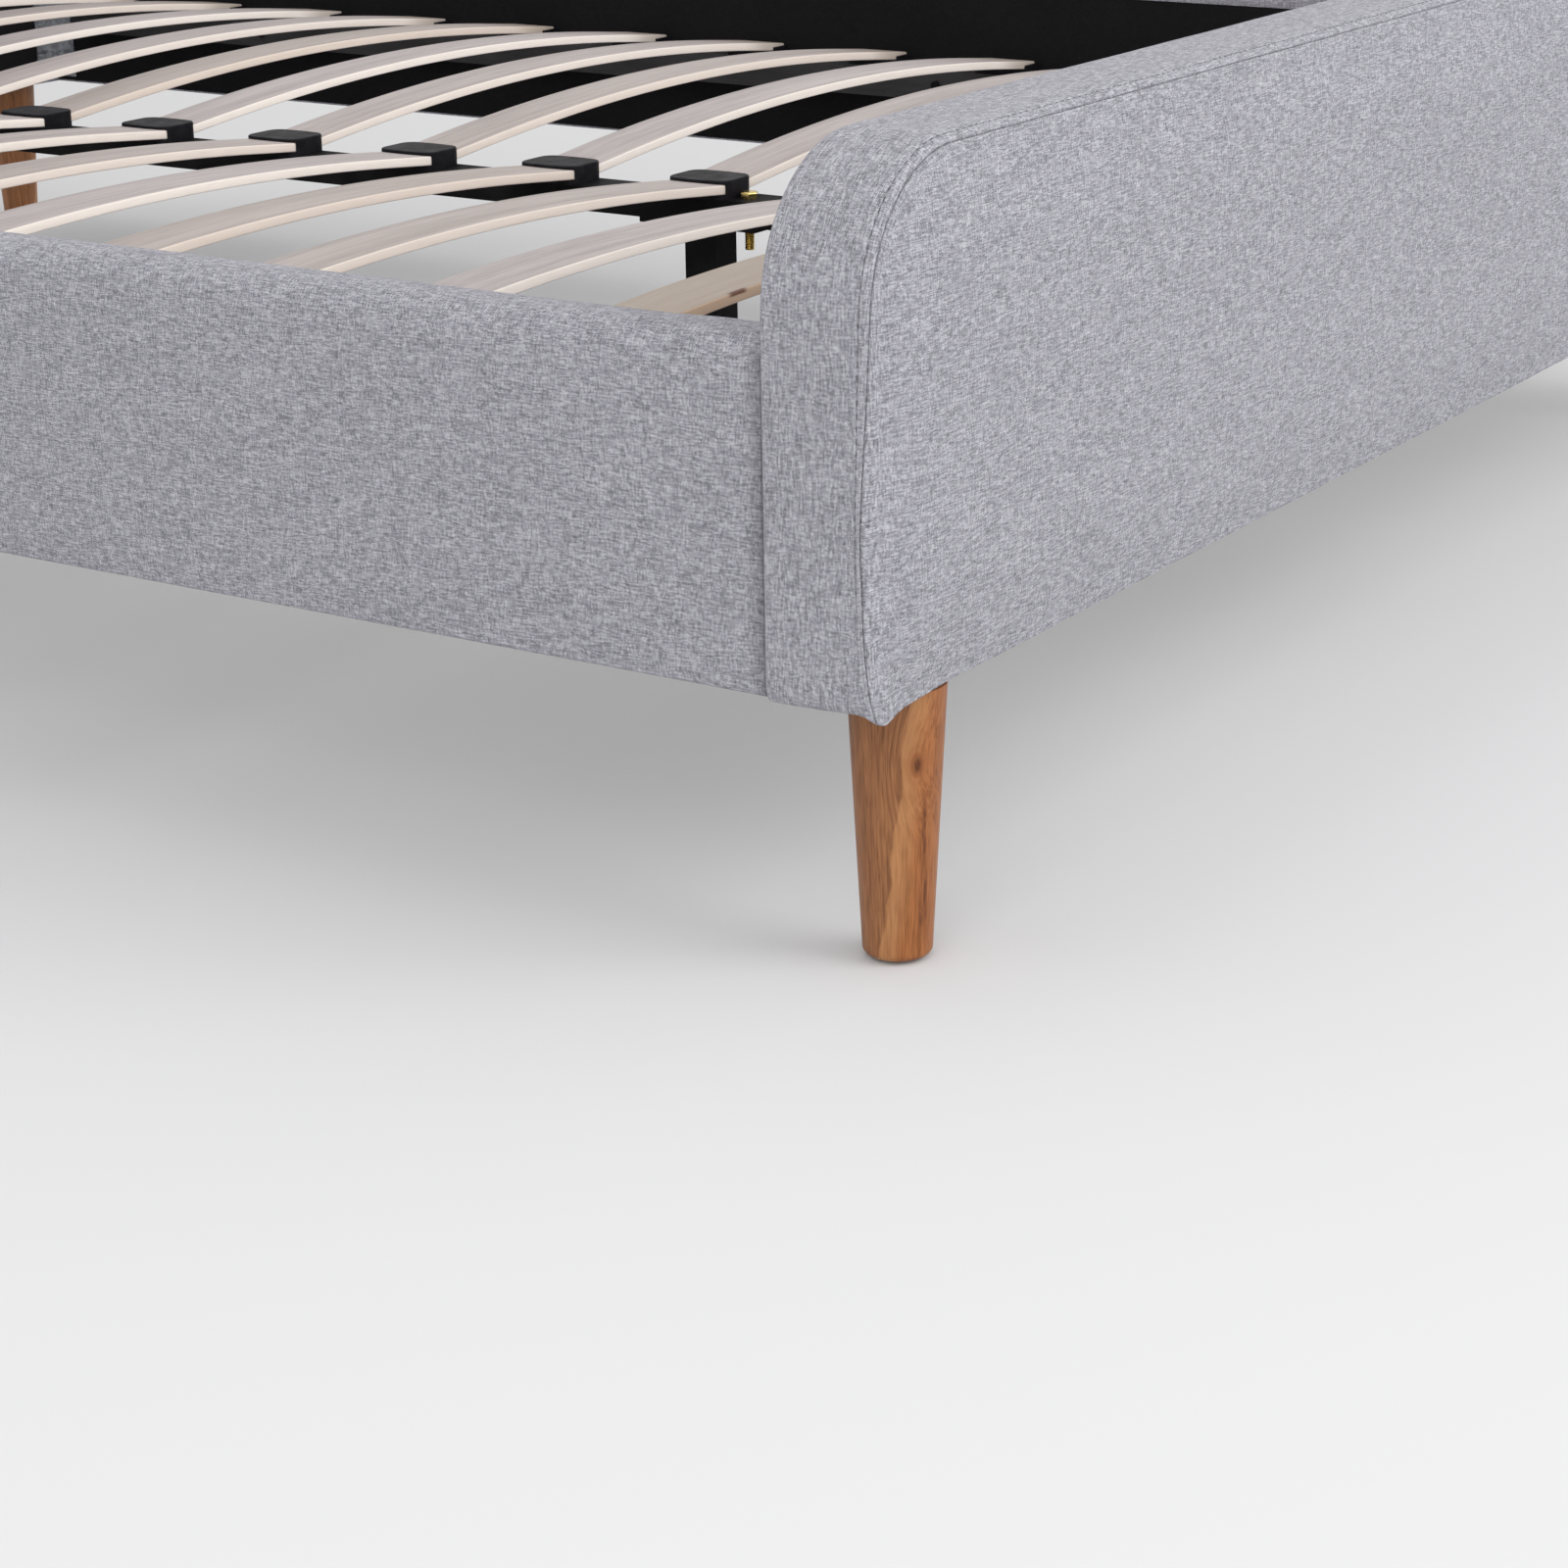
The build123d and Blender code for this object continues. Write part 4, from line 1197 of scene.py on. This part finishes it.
@dataclass
class SideRail:
    """Padded side rail: cloth over the outside and the top, turned in at the well."""

    side: Side
    inner: float = 772.5
    outer: float = 812.5
    bottom: float = 165.5
    top: float = 366.0
    start: float = -1037.6
    end: float = 1026.0
    edge_r: float = 16.0
    inner_r: float = 11.0
    low_r: float = 2.5
    fold: float = 348.0
    hem: float = 339.0
    behind_lining: float = 774.2
    bulge: float = 1.0
    pitch: float = 12.0
    close: Pair = (0.8, 2.2)
    drape_pitch: float = 70.0
    padding: Padding = field(default_factory=lambda: Padding(pressure=1.2, cap=1.5 * MM))
    cover: Piece = field(init=False)

    def section(self) -> np.ndarray:
        """Draw the closed outline across the rail.

        Returns:
            X and Z, from the outer lower edge round to the underside.
        """
        def bend(x: float, z: float, r: float, first: float, last: float, steps: int) -> list:
            """Rounded corner about a point."""
            angles = np.radians(np.linspace(first, last, steps + 1))
            return [(x + r * math.cos(a), z + r * math.sin(a)) for a in angles]

        low, high = self.bottom + self.low_r, self.top - self.edge_r
        rows = bend(self.outer - self.low_r, low, self.low_r, -90, 0, 4)
        for share in np.linspace(0, 1, 16)[1:-1]:
            rows.append((self.outer + self.bulge * math.sin(math.pi * share), low + share * (high - low)))
        rows += bend(self.outer - self.edge_r, high, self.edge_r, 0, 90, 9)
        first, last = self.outer - self.edge_r, self.inner + self.inner_r
        rows += [(first + s * (last - first), self.top + 0.5 * math.sin(math.pi * s)) for s in (0.25, 0.5, 0.75)]
        rows += bend(self.inner + self.inner_r, self.top - self.inner_r, self.inner_r, 90, 180, 5)
        rows += [(self.inner, z) for z in (self.fold, self.hem + 1.0)]
        rows += [(self.inner + 0.5, self.hem), (self.behind_lining, self.hem + 0.2)]
        rows += [(self.behind_lining, z) for z in np.linspace(self.hem - 4, self.bottom, 8)]
        rows += [(x, self.bottom) for x in np.linspace(self.behind_lining, self.outer - self.low_r, 5)[1:-1]]
        return np.array(rows)

    def build(self) -> None:
        """Make the closed cover and let its outside settle."""
        section = self.section()
        steps = round((self.end - self.start) / self.pitch)
        places = np.linspace(self.start, self.end, steps - 3)
        close = np.array(self.close)
        places = np.sort(np.concatenate([places, self.start + close, self.end - close]))
        count = len(section)
        y, x = np.meshgrid(places, section[:, 0] * self.side.value, indexing="ij")
        z = np.repeat(section[None, :, 1], steps + 1, 0)
        points = np.stack([x, y, z], -1).reshape(-1, 3)
        shown = np.tile((section[:, 0] > self.behind_lining + 1) & (section[:, 1] > self.bottom + 6), steps + 1)
        broad = ripple(points * (1, 0.5, 1), self.drape_pitch, 5.2 + self.side.value)
        gap = np.minimum(points[:, 1] - self.start, self.end - points[:, 1])
        fade = np.clip(gap / 60.0, 0, 1)
        points[:, 0] += self.side.value * 0.5 * broad * shown * fade
        points[:, 2] += 0.5 * broad * shown * fade * (points[:, 2] > self.top - 20)
        ids = np.arange(len(points)).reshape(steps + 1, count)
        loop = np.concatenate([ids, ids[:, :1]], 1)
        around = lengths(np.vstack([section, section[:1]]))
        chart = np.stack(np.meshgrid(places, around, indexing="ij"), -1)
        faces = cells(loop).reshape(-1, 4).tolist()
        charts = cells(chart).reshape(-1, 2)
        for end in (ids[0], ids[-1]):
            faces.append(end.tolist())
            charts = np.concatenate([charts, section])
        name = f"{self.side.name.lower()}_rail_upholstery"
        self.cover = Bench.from_arrays(name, points * MM, faces, charts * MM)
        # Painted shade at the rail's ends, where it meets the boards.
        Bench.mark(self.cover, PAINTED_SHADE, np.clip(1.2 - gap / 3.0, 0, 1))
        loose = shown & np.tile(section[:, 1] > self.bottom + 12, steps + 1)
        loose &= gap > 5
        self.padding.swell(self.cover, loose.astype(float))
        Bench.smooth(self.cover, 60)

    def dress(self, cloth: Material, node: str) -> None:
        """Finish the cover.

        Args:
            cloth: Material of the cover.
            node: Solid that the cover stands for.
        """
        Bench.dress(self.cover, cloth, Slot.CLOTH)
        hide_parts(node)


@dataclass
class LiningSheet:
    """Black lining stapled flat on one inner face."""

    name: str
    origin: Place
    across: Place
    out: Place
    size: Pair
    rests_on: str
    up: Place = (0, 0, 1)
    thick: float = 0.8
    pitch: float = 16.0
    wave: float = 0.25
    sheet: Piece = field(init=False)

    def build(self) -> None:
        """Make the thin sheet, a little slack between its edges."""
        wide, high = self.size
        columns, rows = round(wide / self.pitch), round(high / self.pitch)
        s, t = np.meshgrid(np.linspace(0, wide, columns + 1), np.linspace(0, high, rows + 1), indexing="ij")
        spots = np.stack([s, t, 0 * s], -1).reshape(-1, 3)
        slack = np.sin(math.pi * s / wide) * np.sin(math.pi * t / high)
        lift = (ripple(spots, 60.0, 2.2).reshape(s.shape) * self.wave * slack).ravel()
        flat = np.array(self.origin) + np.outer(s.ravel(), self.across) + np.outer(t.ravel(), self.up)
        front = flat + np.outer(self.thick + np.minimum(lift, 0), self.out)
        points = np.concatenate([front, flat])
        ids = np.arange(s.size).reshape(s.shape)
        faces = cells(ids).reshape(-1, 4).tolist()
        faces += [[n + s.size for n in face[::-1]] for face in faces]
        rim = np.concatenate([ids[:, 0], ids[-1, 1:], ids[::-1, -1][1:], ids[0, ::-1][1:]])
        faces += [[a, b, b + s.size, a + s.size] for a, b in zip(rim[:-1], rim[1:])]
        self.sheet = Bench.from_arrays(self.name, points * MM, faces)
        Bench.smooth(self.sheet, 50)

    def dress(self, lining: Material) -> None:
        """Finish the sheet.

        Args:
            lining: Material of the sheet.
        """
        Bench.dress(self.sheet, lining, Slot.LINING)
        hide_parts("black_linings")


# Brownness of the slats that stand out from the rest, by row and side.
SLAT_TONES = {(1, Side.LEFT): 1.0, (4, Side.LEFT): 0.35, (8, Side.RIGHT): 0.4, (0, Side.LEFT): 0.2}


@dataclass
class SlatDeck:
    """Two rows of bowed slats, from the side rails to the middle."""

    count: int = 13
    first_y: float = -900.2
    pitch: float = 149.0333
    width: float = 53.0
    thick: float = 8.0
    edge_r: float = 1.5
    run: float = 60.0
    slope: float = math.radians(6.3)
    inner: float = 4.0
    outer: float = 760.5
    inner_z: float = 270.5
    outer_z: float = 266.5
    steps: int = 30
    slats: list[tuple[str, Piece]] = field(default_factory=list)

    @property
    def chord(self) -> float:
        """Length from end to end, along the underside's chord."""
        return math.hypot(self.outer - self.inner, self.inner_z - self.outer_z)

    @property
    def hub(self) -> Place:
        """Find the underside's bow, over the chord.

        Returns:
            X and Z of its centre, and its radius.
        """
        half = self.chord / 2 - self.run * math.cos(self.slope)
        radius = half / math.sin(self.slope)
        return self.chord / 2, self.run * math.sin(self.slope) - radius * math.cos(self.slope), radius

    def blank(self) -> Piece:
        """Model one slat: section rounded, then drawn out, bowed and drawn out again.

        Returns:
            The slat, with its inner end at the origin.
        """
        cos, sin = math.cos(self.slope), math.sin(self.slope)
        Bench.clear()
        bpy.ops.mesh.primitive_plane_add(size=1.0)
        piece = Bench.named("slat_blank")
        Bench.edit(piece)
        bpy.ops.mesh.select_all(action="SELECT")
        bpy.ops.transform.resize(value=(self.thick * MM, self.width * MM, 1), center_override=(0, 0, 0))
        bpy.ops.mesh.bevel(offset=self.edge_r * MM, segments=3, affect="VERTICES")
        Bench.done()
        piece.rotation_euler = (0, math.pi / 2 - self.slope, 0)
        piece.location = (-sin * self.thick / 2 * MM, 0, cos * self.thick / 2 * MM)
        Bench.settle(piece)
        Bench.edit(piece)
        bpy.ops.mesh.select_mode(type="FACE")
        bpy.ops.mesh.select_all(action="SELECT")
        for _ in range(3):
            Bench.grow((self.run / 3 * cos * MM, 0, self.run / 3 * sin * MM))
        x, z, _ = self.hub
        bpy.ops.mesh.spin(steps=self.steps, angle=-2 * self.slope, center=(x * MM, 0, z * MM), axis=(0, 1, 0))
        for _ in range(3):
            Bench.grow((self.run / 3 * cos * MM, 0, -self.run / 3 * sin * MM))
        Bench.done()
        Bench.tidy(piece)
        return piece

    def ply_places(self, piece: Piece) -> np.ndarray:
        """Find every point's place in the slat's own layers.

        Args:
            piece: The slat, as modelled.

        Returns:
            Run, breadth and depth of every point, in metres.
        """
        hub_x, hub_z, radius = self.hub
        cos, sin = math.cos(self.slope), math.sin(self.slope)
        rows = []
        for vertex in piece.data.vertices:
            x, y, z = (c / MM for c in vertex.co)
            angle = math.atan2(x - hub_x, z - hub_z)
            if angle < -self.slope:
                along, deep = x * cos + z * sin, z * cos - x * sin
            elif angle > self.slope:
                back = self.chord - x
                along = 2 * self.run + 2 * self.slope * radius - (back * cos + z * sin)
                deep = z * cos - back * sin
            else:
                along = self.run + (angle + self.slope) * radius
                deep = math.hypot(x - hub_x, z - hub_z) - radius
            rows.append((along * MM, y * MM, deep * MM))
        return np.array(rows)

    def build(self) -> None:
        """Model one slat and set a copy in every place."""
        blank = self.blank()
        Bench.finish(blank, "BEVEL", width=0.5 * MM, segments=2, limit_method="ANGLE", angle_limit=math.radians(50))
        places = self.ply_places(blank)
        Bench.smooth(blank, 35)
        layer = blank.data.attributes.new(PLY_PLACE, "FLOAT_VECTOR", "POINT")
        layer.data.foreach_set("vector", places.astype(np.float32).ravel())
        tilt = Matrix.Rotation(math.atan2(self.inner_z - self.outer_z, self.outer - self.inner), 4, "Y")
        seat = Matrix.Translation((self.inner * MM, 0, self.inner_z * MM)) @ tilt
        blank.data.transform(seat)
        for side in Side:
            for row in range(self.count):
                node = f"slat_{side.name.lower()}_{row + 1:02d}"
                mesh = blank.data.copy()
                shift = Matrix.Translation((0, (self.first_y + row * self.pitch) * MM, 0))
                mesh.transform(shift @ Matrix.Diagonal((side.value, 1, 1, 1)))
                if side is Side.LEFT:
                    mesh.flip_normals()
                piece = Bench.link(f"bent_{node}", mesh)
                tone = SLAT_TONES.get((row, side), 0.12 * ((row * 5 + side.value) % 3))
                Bench.mark(piece, TOAST, np.full(len(mesh.vertices), tone))
                self.slats.append((node, piece))
        bpy.data.objects.remove(blank)

    def dress(self, ply: Material) -> None:
        """Finish every slat.

        Args:
            ply: Material of the slats.
        """
        for node, piece in self.slats:
            Bench.dress(piece, ply, Slot.SLAT_WOOD)
            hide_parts(node)


@dataclass
class LegBolts:
    """Plated bolts that tie the centre legs to the rail, with chamfered heads and cut threads."""

    rows: Pair = (-453.1, 441.1)
    offset: float = 38.0
    seat: float = 268.0
    head_af: float = 13.0
    head_h: float = 5.3
    crest_r: float = 3.95
    root_r: float = 3.4
    plain: float = 16.0
    length: float = 42.0
    thread: float = 1.25
    sides: int = 20
    crown: float = 1.9
    chamfer: float = 0.4
    bolts: list[Piece] = field(default_factory=list)

    def head(self) -> Piece:
        """Model the hexagon head with a rounded crown and chamfered corners.

        Returns:
            The head, seated at the origin.
        """
        Bench.clear()
        bpy.ops.mesh.primitive_cylinder_add(vertices=6, radius=self.head_af / math.sqrt(3) * MM, depth=self.head_h * MM)
        piece = Bench.named("leg_bolt")
        piece.location = (0, 0, self.head_h / 2 * MM)
        Bench.settle(piece)
        Bench.edit(piece)
        top = 0.9 * self.head_h * MM
        Bench.pick(piece, "EDGE", lambda e: min(v.co.z for v in e.verts) > top)
        bpy.ops.mesh.bevel(offset=self.crown * MM, segments=5, profile=0.55)
        Bench.pick(piece, "EDGE", lambda e: abs(e.verts[0].co.z - e.verts[1].co.z) > 2 * MM)
        bpy.ops.mesh.bevel(offset=self.chamfer * MM, segments=2)
        Bench.done()
        return piece

    def shank(self) -> Piece:
        """Model the plain neck and draw the thread out of its end, ridge by ridge.

        Returns:
            The shank, hanging from the origin.
        """
        Bench.clear()
        bpy.ops.mesh.primitive_cylinder_add(vertices=self.sides, radius=self.crest_r * MM, depth=self.plain * MM)
        piece = Bench.named("leg_bolt_shank")
        piece.location = (0, 0, -self.plain / 2 * MM)
        Bench.settle(piece)
        Bench.edit(piece)
        low = -0.9 * self.plain * MM
        Bench.pick(piece, "FACE", lambda f: f.calc_center_median().z < low)
        depth, crest = self.plain, True
        while depth + self.thread / 2 < self.length:
            depth += self.thread / 2
            Bench.grow((0, 0, -self.thread / 2 * MM))
            scale = self.root_r / self.crest_r if crest else self.crest_r / self.root_r
            bpy.ops.transform.resize(value=(scale, scale, 1), center_override=(0, 0, -depth * MM))
            crest = not crest
        Bench.done()
        return piece

    def build(self) -> None:
        """Model one bolt and set a copy in every place."""
        blank, shank = self.head(), self.shank()
        Bench.focus(blank)
        shank.select_set(True)
        bpy.ops.object.join()
        Bench.smooth(blank, 35)
        for y in self.rows:
            for side in (-1, 1):
                mesh = blank.data.copy()
                mesh.transform(Matrix.Translation((0, (y + side * self.offset) * MM, self.seat * MM)))
                self.bolts.append(Bench.link(f"centre_leg_bolt_{len(self.bolts) + 1}", mesh))
        bpy.data.objects.remove(blank)

    def dress(self, plate: Material) -> None:
        """Finish every bolt.

        Args:
            plate: Material of the bolts.
        """
        for piece in self.bolts:
            Bench.dress(piece, plate, Slot.YELLOW_ZINC)
            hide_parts("centre_leg_bolts")


# Turn of each leg's grain about its axis, in radians.
GRAIN_TURNS = {"foot_left_leg": 1.026, "foot_right_leg": 3.1, "head_left_leg": 4.6, "head_right_leg": 5.7}


@dataclass
class Fittings:
    """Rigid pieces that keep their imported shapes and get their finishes."""

    leg_x: float = 745.0
    leg_y: float = 1079.0

    def paint(self, material: Material, *nodes: str) -> None:
        """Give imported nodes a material.

        Args:
            material: Finish to give.
            *nodes: Names of the nodes.
        """
        for name in nodes:
            piece = frame["nodes"][name]
            for slot in piece.material_slots:
                slot.material = material
            LOG.info("%s: %s", name, material.name)

    def dress(self) -> None:
        """Finish every rigid node."""
        softwood = PlainTimber("sawn_softwood", (0.42, 0.28, 0.15), (0.7, 0.53, 0.34))
        thin_ply = PlainTimber("thin_plywood", (0.46, 0.32, 0.19), (0.72, 0.56, 0.38))
        stained = PlainTimber("black_stained_batten", (0.008, 0.0075, 0.008), (0.026, 0.024, 0.025), 0.6)
        bright = PlatedSteel("bright_zinc_plate", (0.62, 0.63, 0.65), (0.4, 0.41, 0.43))
        coats = (
            (softwood, "headboard_frame", "footboard_frame", "left_rail_board", "right_rail_board"),
            (thin_ply, "headboard_panels", "footboard_panels"),
            (stained, "left_slat_ledge", "right_slat_ledge"),
            (MouldedPlastic(), "slat_holders", "centre_slat_caps", "front_levelling_foot", "rear_levelling_foot"),
            (CoatedSteel(), "centre_rail", "centre_rail_hangers", "front_centre_leg", "rear_centre_leg", "wood_screws"),
            (bright, "corner_brackets", "corner_bolts", "leg_studs", "leg_inserts"),
            (PressedFelt(), "floor_glides"),
        )
        for finish, *nodes in coats:
            self.paint(finish.material(), *nodes)
        for name, turn in GRAIN_TURNS.items():
            x = self.leg_x * (1 if "right" in name else -1)
            y = self.leg_y * (1 if "head" in name else -1)
            self.paint(LegWood(f"{name}_wood", (x * MM, y * MM), turn).material(), name)


@dataclass
class Studio:
    """Pale floor, soft light and the viewpoint."""

    place: Place = (-2.3103, -2.0257, 0.7507)
    yaw: float = math.radians(56.848)
    pitch: float = math.radians(19.488)
    roll: float = math.radians(-0.805)
    lens: float = 79.5
    sensor: float = 36.0
    clip: Pair = (0.05, 100.0)
    floor_size: float = 60.0
    floor_colour: Colour = (0.64, 0.64, 0.645)
    sky: float = 1.02

    def camera(self) -> None:
        """Set the camera at its viewpoint."""
        data = bpy.data.cameras.new("viewpoint")
        data.lens, data.sensor_width = self.lens, self.sensor
        data.clip_start, data.clip_end = self.clip
        camera = Bench.link("viewpoint", data)
        level = math.cos(self.pitch)
        ahead = Vector((math.sin(self.yaw) * level, math.cos(self.yaw) * level, -math.sin(self.pitch)))
        right = Vector((math.cos(self.yaw), -math.sin(self.yaw), 0))
        up = right.cross(ahead)
        side = math.cos(self.roll) * right + math.sin(self.roll) * up
        top = math.cos(self.roll) * up - math.sin(self.roll) * right
        camera.matrix_world = Matrix.Translation(self.place) @ Matrix((side, top, -ahead)).transposed().to_4x4()
        bpy.context.scene.camera = camera

    def lamp(self, name: str, place: Place, target: Place, size: float, power: float) -> None:
        """Add one soft square lamp.

        Args:
            name: Name of the lamp.
            place: Where it hangs.
            target: What it faces.
            size: Width of its face.
            power: Watts.
        """
        data = bpy.data.lights.new(name, "AREA")
        data.size, data.energy = size, power
        lamp = Bench.link(name, data)
        lamp.location = place
        lamp.rotation_euler = (Vector(target) - Vector(place)).to_track_quat("-Z", "Y").to_euler()

    def light(self) -> None:
        """Even sky and three soft lamps."""
        world = bpy.data.worlds.new("studio")
        world.use_nodes = True
        back = world.node_tree.nodes["Background"]
        back.inputs["Color"].default_value = (1.0, 1.0, 1.0, 1.0)
        back.inputs["Strength"].default_value = self.sky
        bpy.context.scene.world = world
        bpy.context.scene.view_settings.view_transform = "Standard"
        self.lamp("overhead", (-0.3, -0.3, 3.6), (0, 0, 0), 2.4, 4.0)
        self.lamp("front", (0.6, -5.0, 2.5), (0, -1.0, 0.3), 3.0, 100.0)
        self.lamp("left", (-4.3, -2.2, 2.4), (-0.8, -1.0, 0.3), 2.6, 46.0)

    def floor(self) -> None:
        """Lay the plain pale floor."""
        Bench.clear()
        bpy.ops.mesh.primitive_grid_add(x_subdivisions=12, y_subdivisions=12, size=self.floor_size)
        floor = Bench.named("floor")
        pale = Graph("pale_floor").shade(Base_Color=self.floor_colour, Roughness=0.9, Specular_IOR_Level=0.1)
        floor.data.materials.append(pale)


def main() -> None:
    """Build every sub-assembly and dress it."""
    logging.basicConfig(level=logging.INFO, format="%(name)s: %(message)s")
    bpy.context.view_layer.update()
    studio = Studio()
    studio.camera()
    studio.floor()
    studio.light()
    cloth = WovenCloth().material()
    thread = SewingThread().material()
    lining = LiningCloth().material()
    foot = EndBoard(
        "footboard_upholstery", face_y=-1107.0, back_y=-1038.0, top=466.0, corner_r=88.0, crown_bottom=164.0, pitch=12.0
    )
    head = EndBoard(
        "headboard_upholstery", face_y=1026.0, back_y=1112.0, top=1010.0, corner_r=110.0, crown_bottom=379.0,
        pitch=18.0, lined_face=True,
    )
    for board, label in ((foot, "footboard"), (head, "headboard")):
        board.build()
        board.dress(cloth, thread, f"{label}_cover", f"{label}_foam")
    for side in Side:
        rail = SideRail(side)
        rail.build()
        rail.dress(cloth, f"{side.name.lower()}_rail_cover")
    sheets = [
        LiningSheet("footboard_lining", (-798, -1038.8, 174), (1, 0, 0), (0, 1, 0), (1596, 165), foot.name),
        LiningSheet("headboard_lining", (-798, 1026.8, 174), (1, 0, 0), (0, -1, 0), (1596, 165), head.name),
    ]
    for side in Side:
        label, origin, out = side.name.lower(), (side.value * 774.2, -1038, 167.5), (-side.value, 0, 0)
        rests_on = f"{label}_rail_upholstery"
        sheets.append(LiningSheet(f"{label}_rail_lining", origin, (0, 1, 0), out, (2064, 171.5), rests_on))
    for sheet in sheets:
        sheet.build()
        sheet.dress(lining)
    deck = SlatDeck()
    deck.build()
    deck.dress(SlatPly().material())
    bolts = LegBolts()
    bolts.build()
    bolts.dress(PlatedSteel("yellow_zinc_plate", (0.78, 0.62, 0.27), (0.55, 0.40, 0.14)).material())
    Fittings().dress()
    LOG.info("built")


if __name__ == "__main__":
    main()
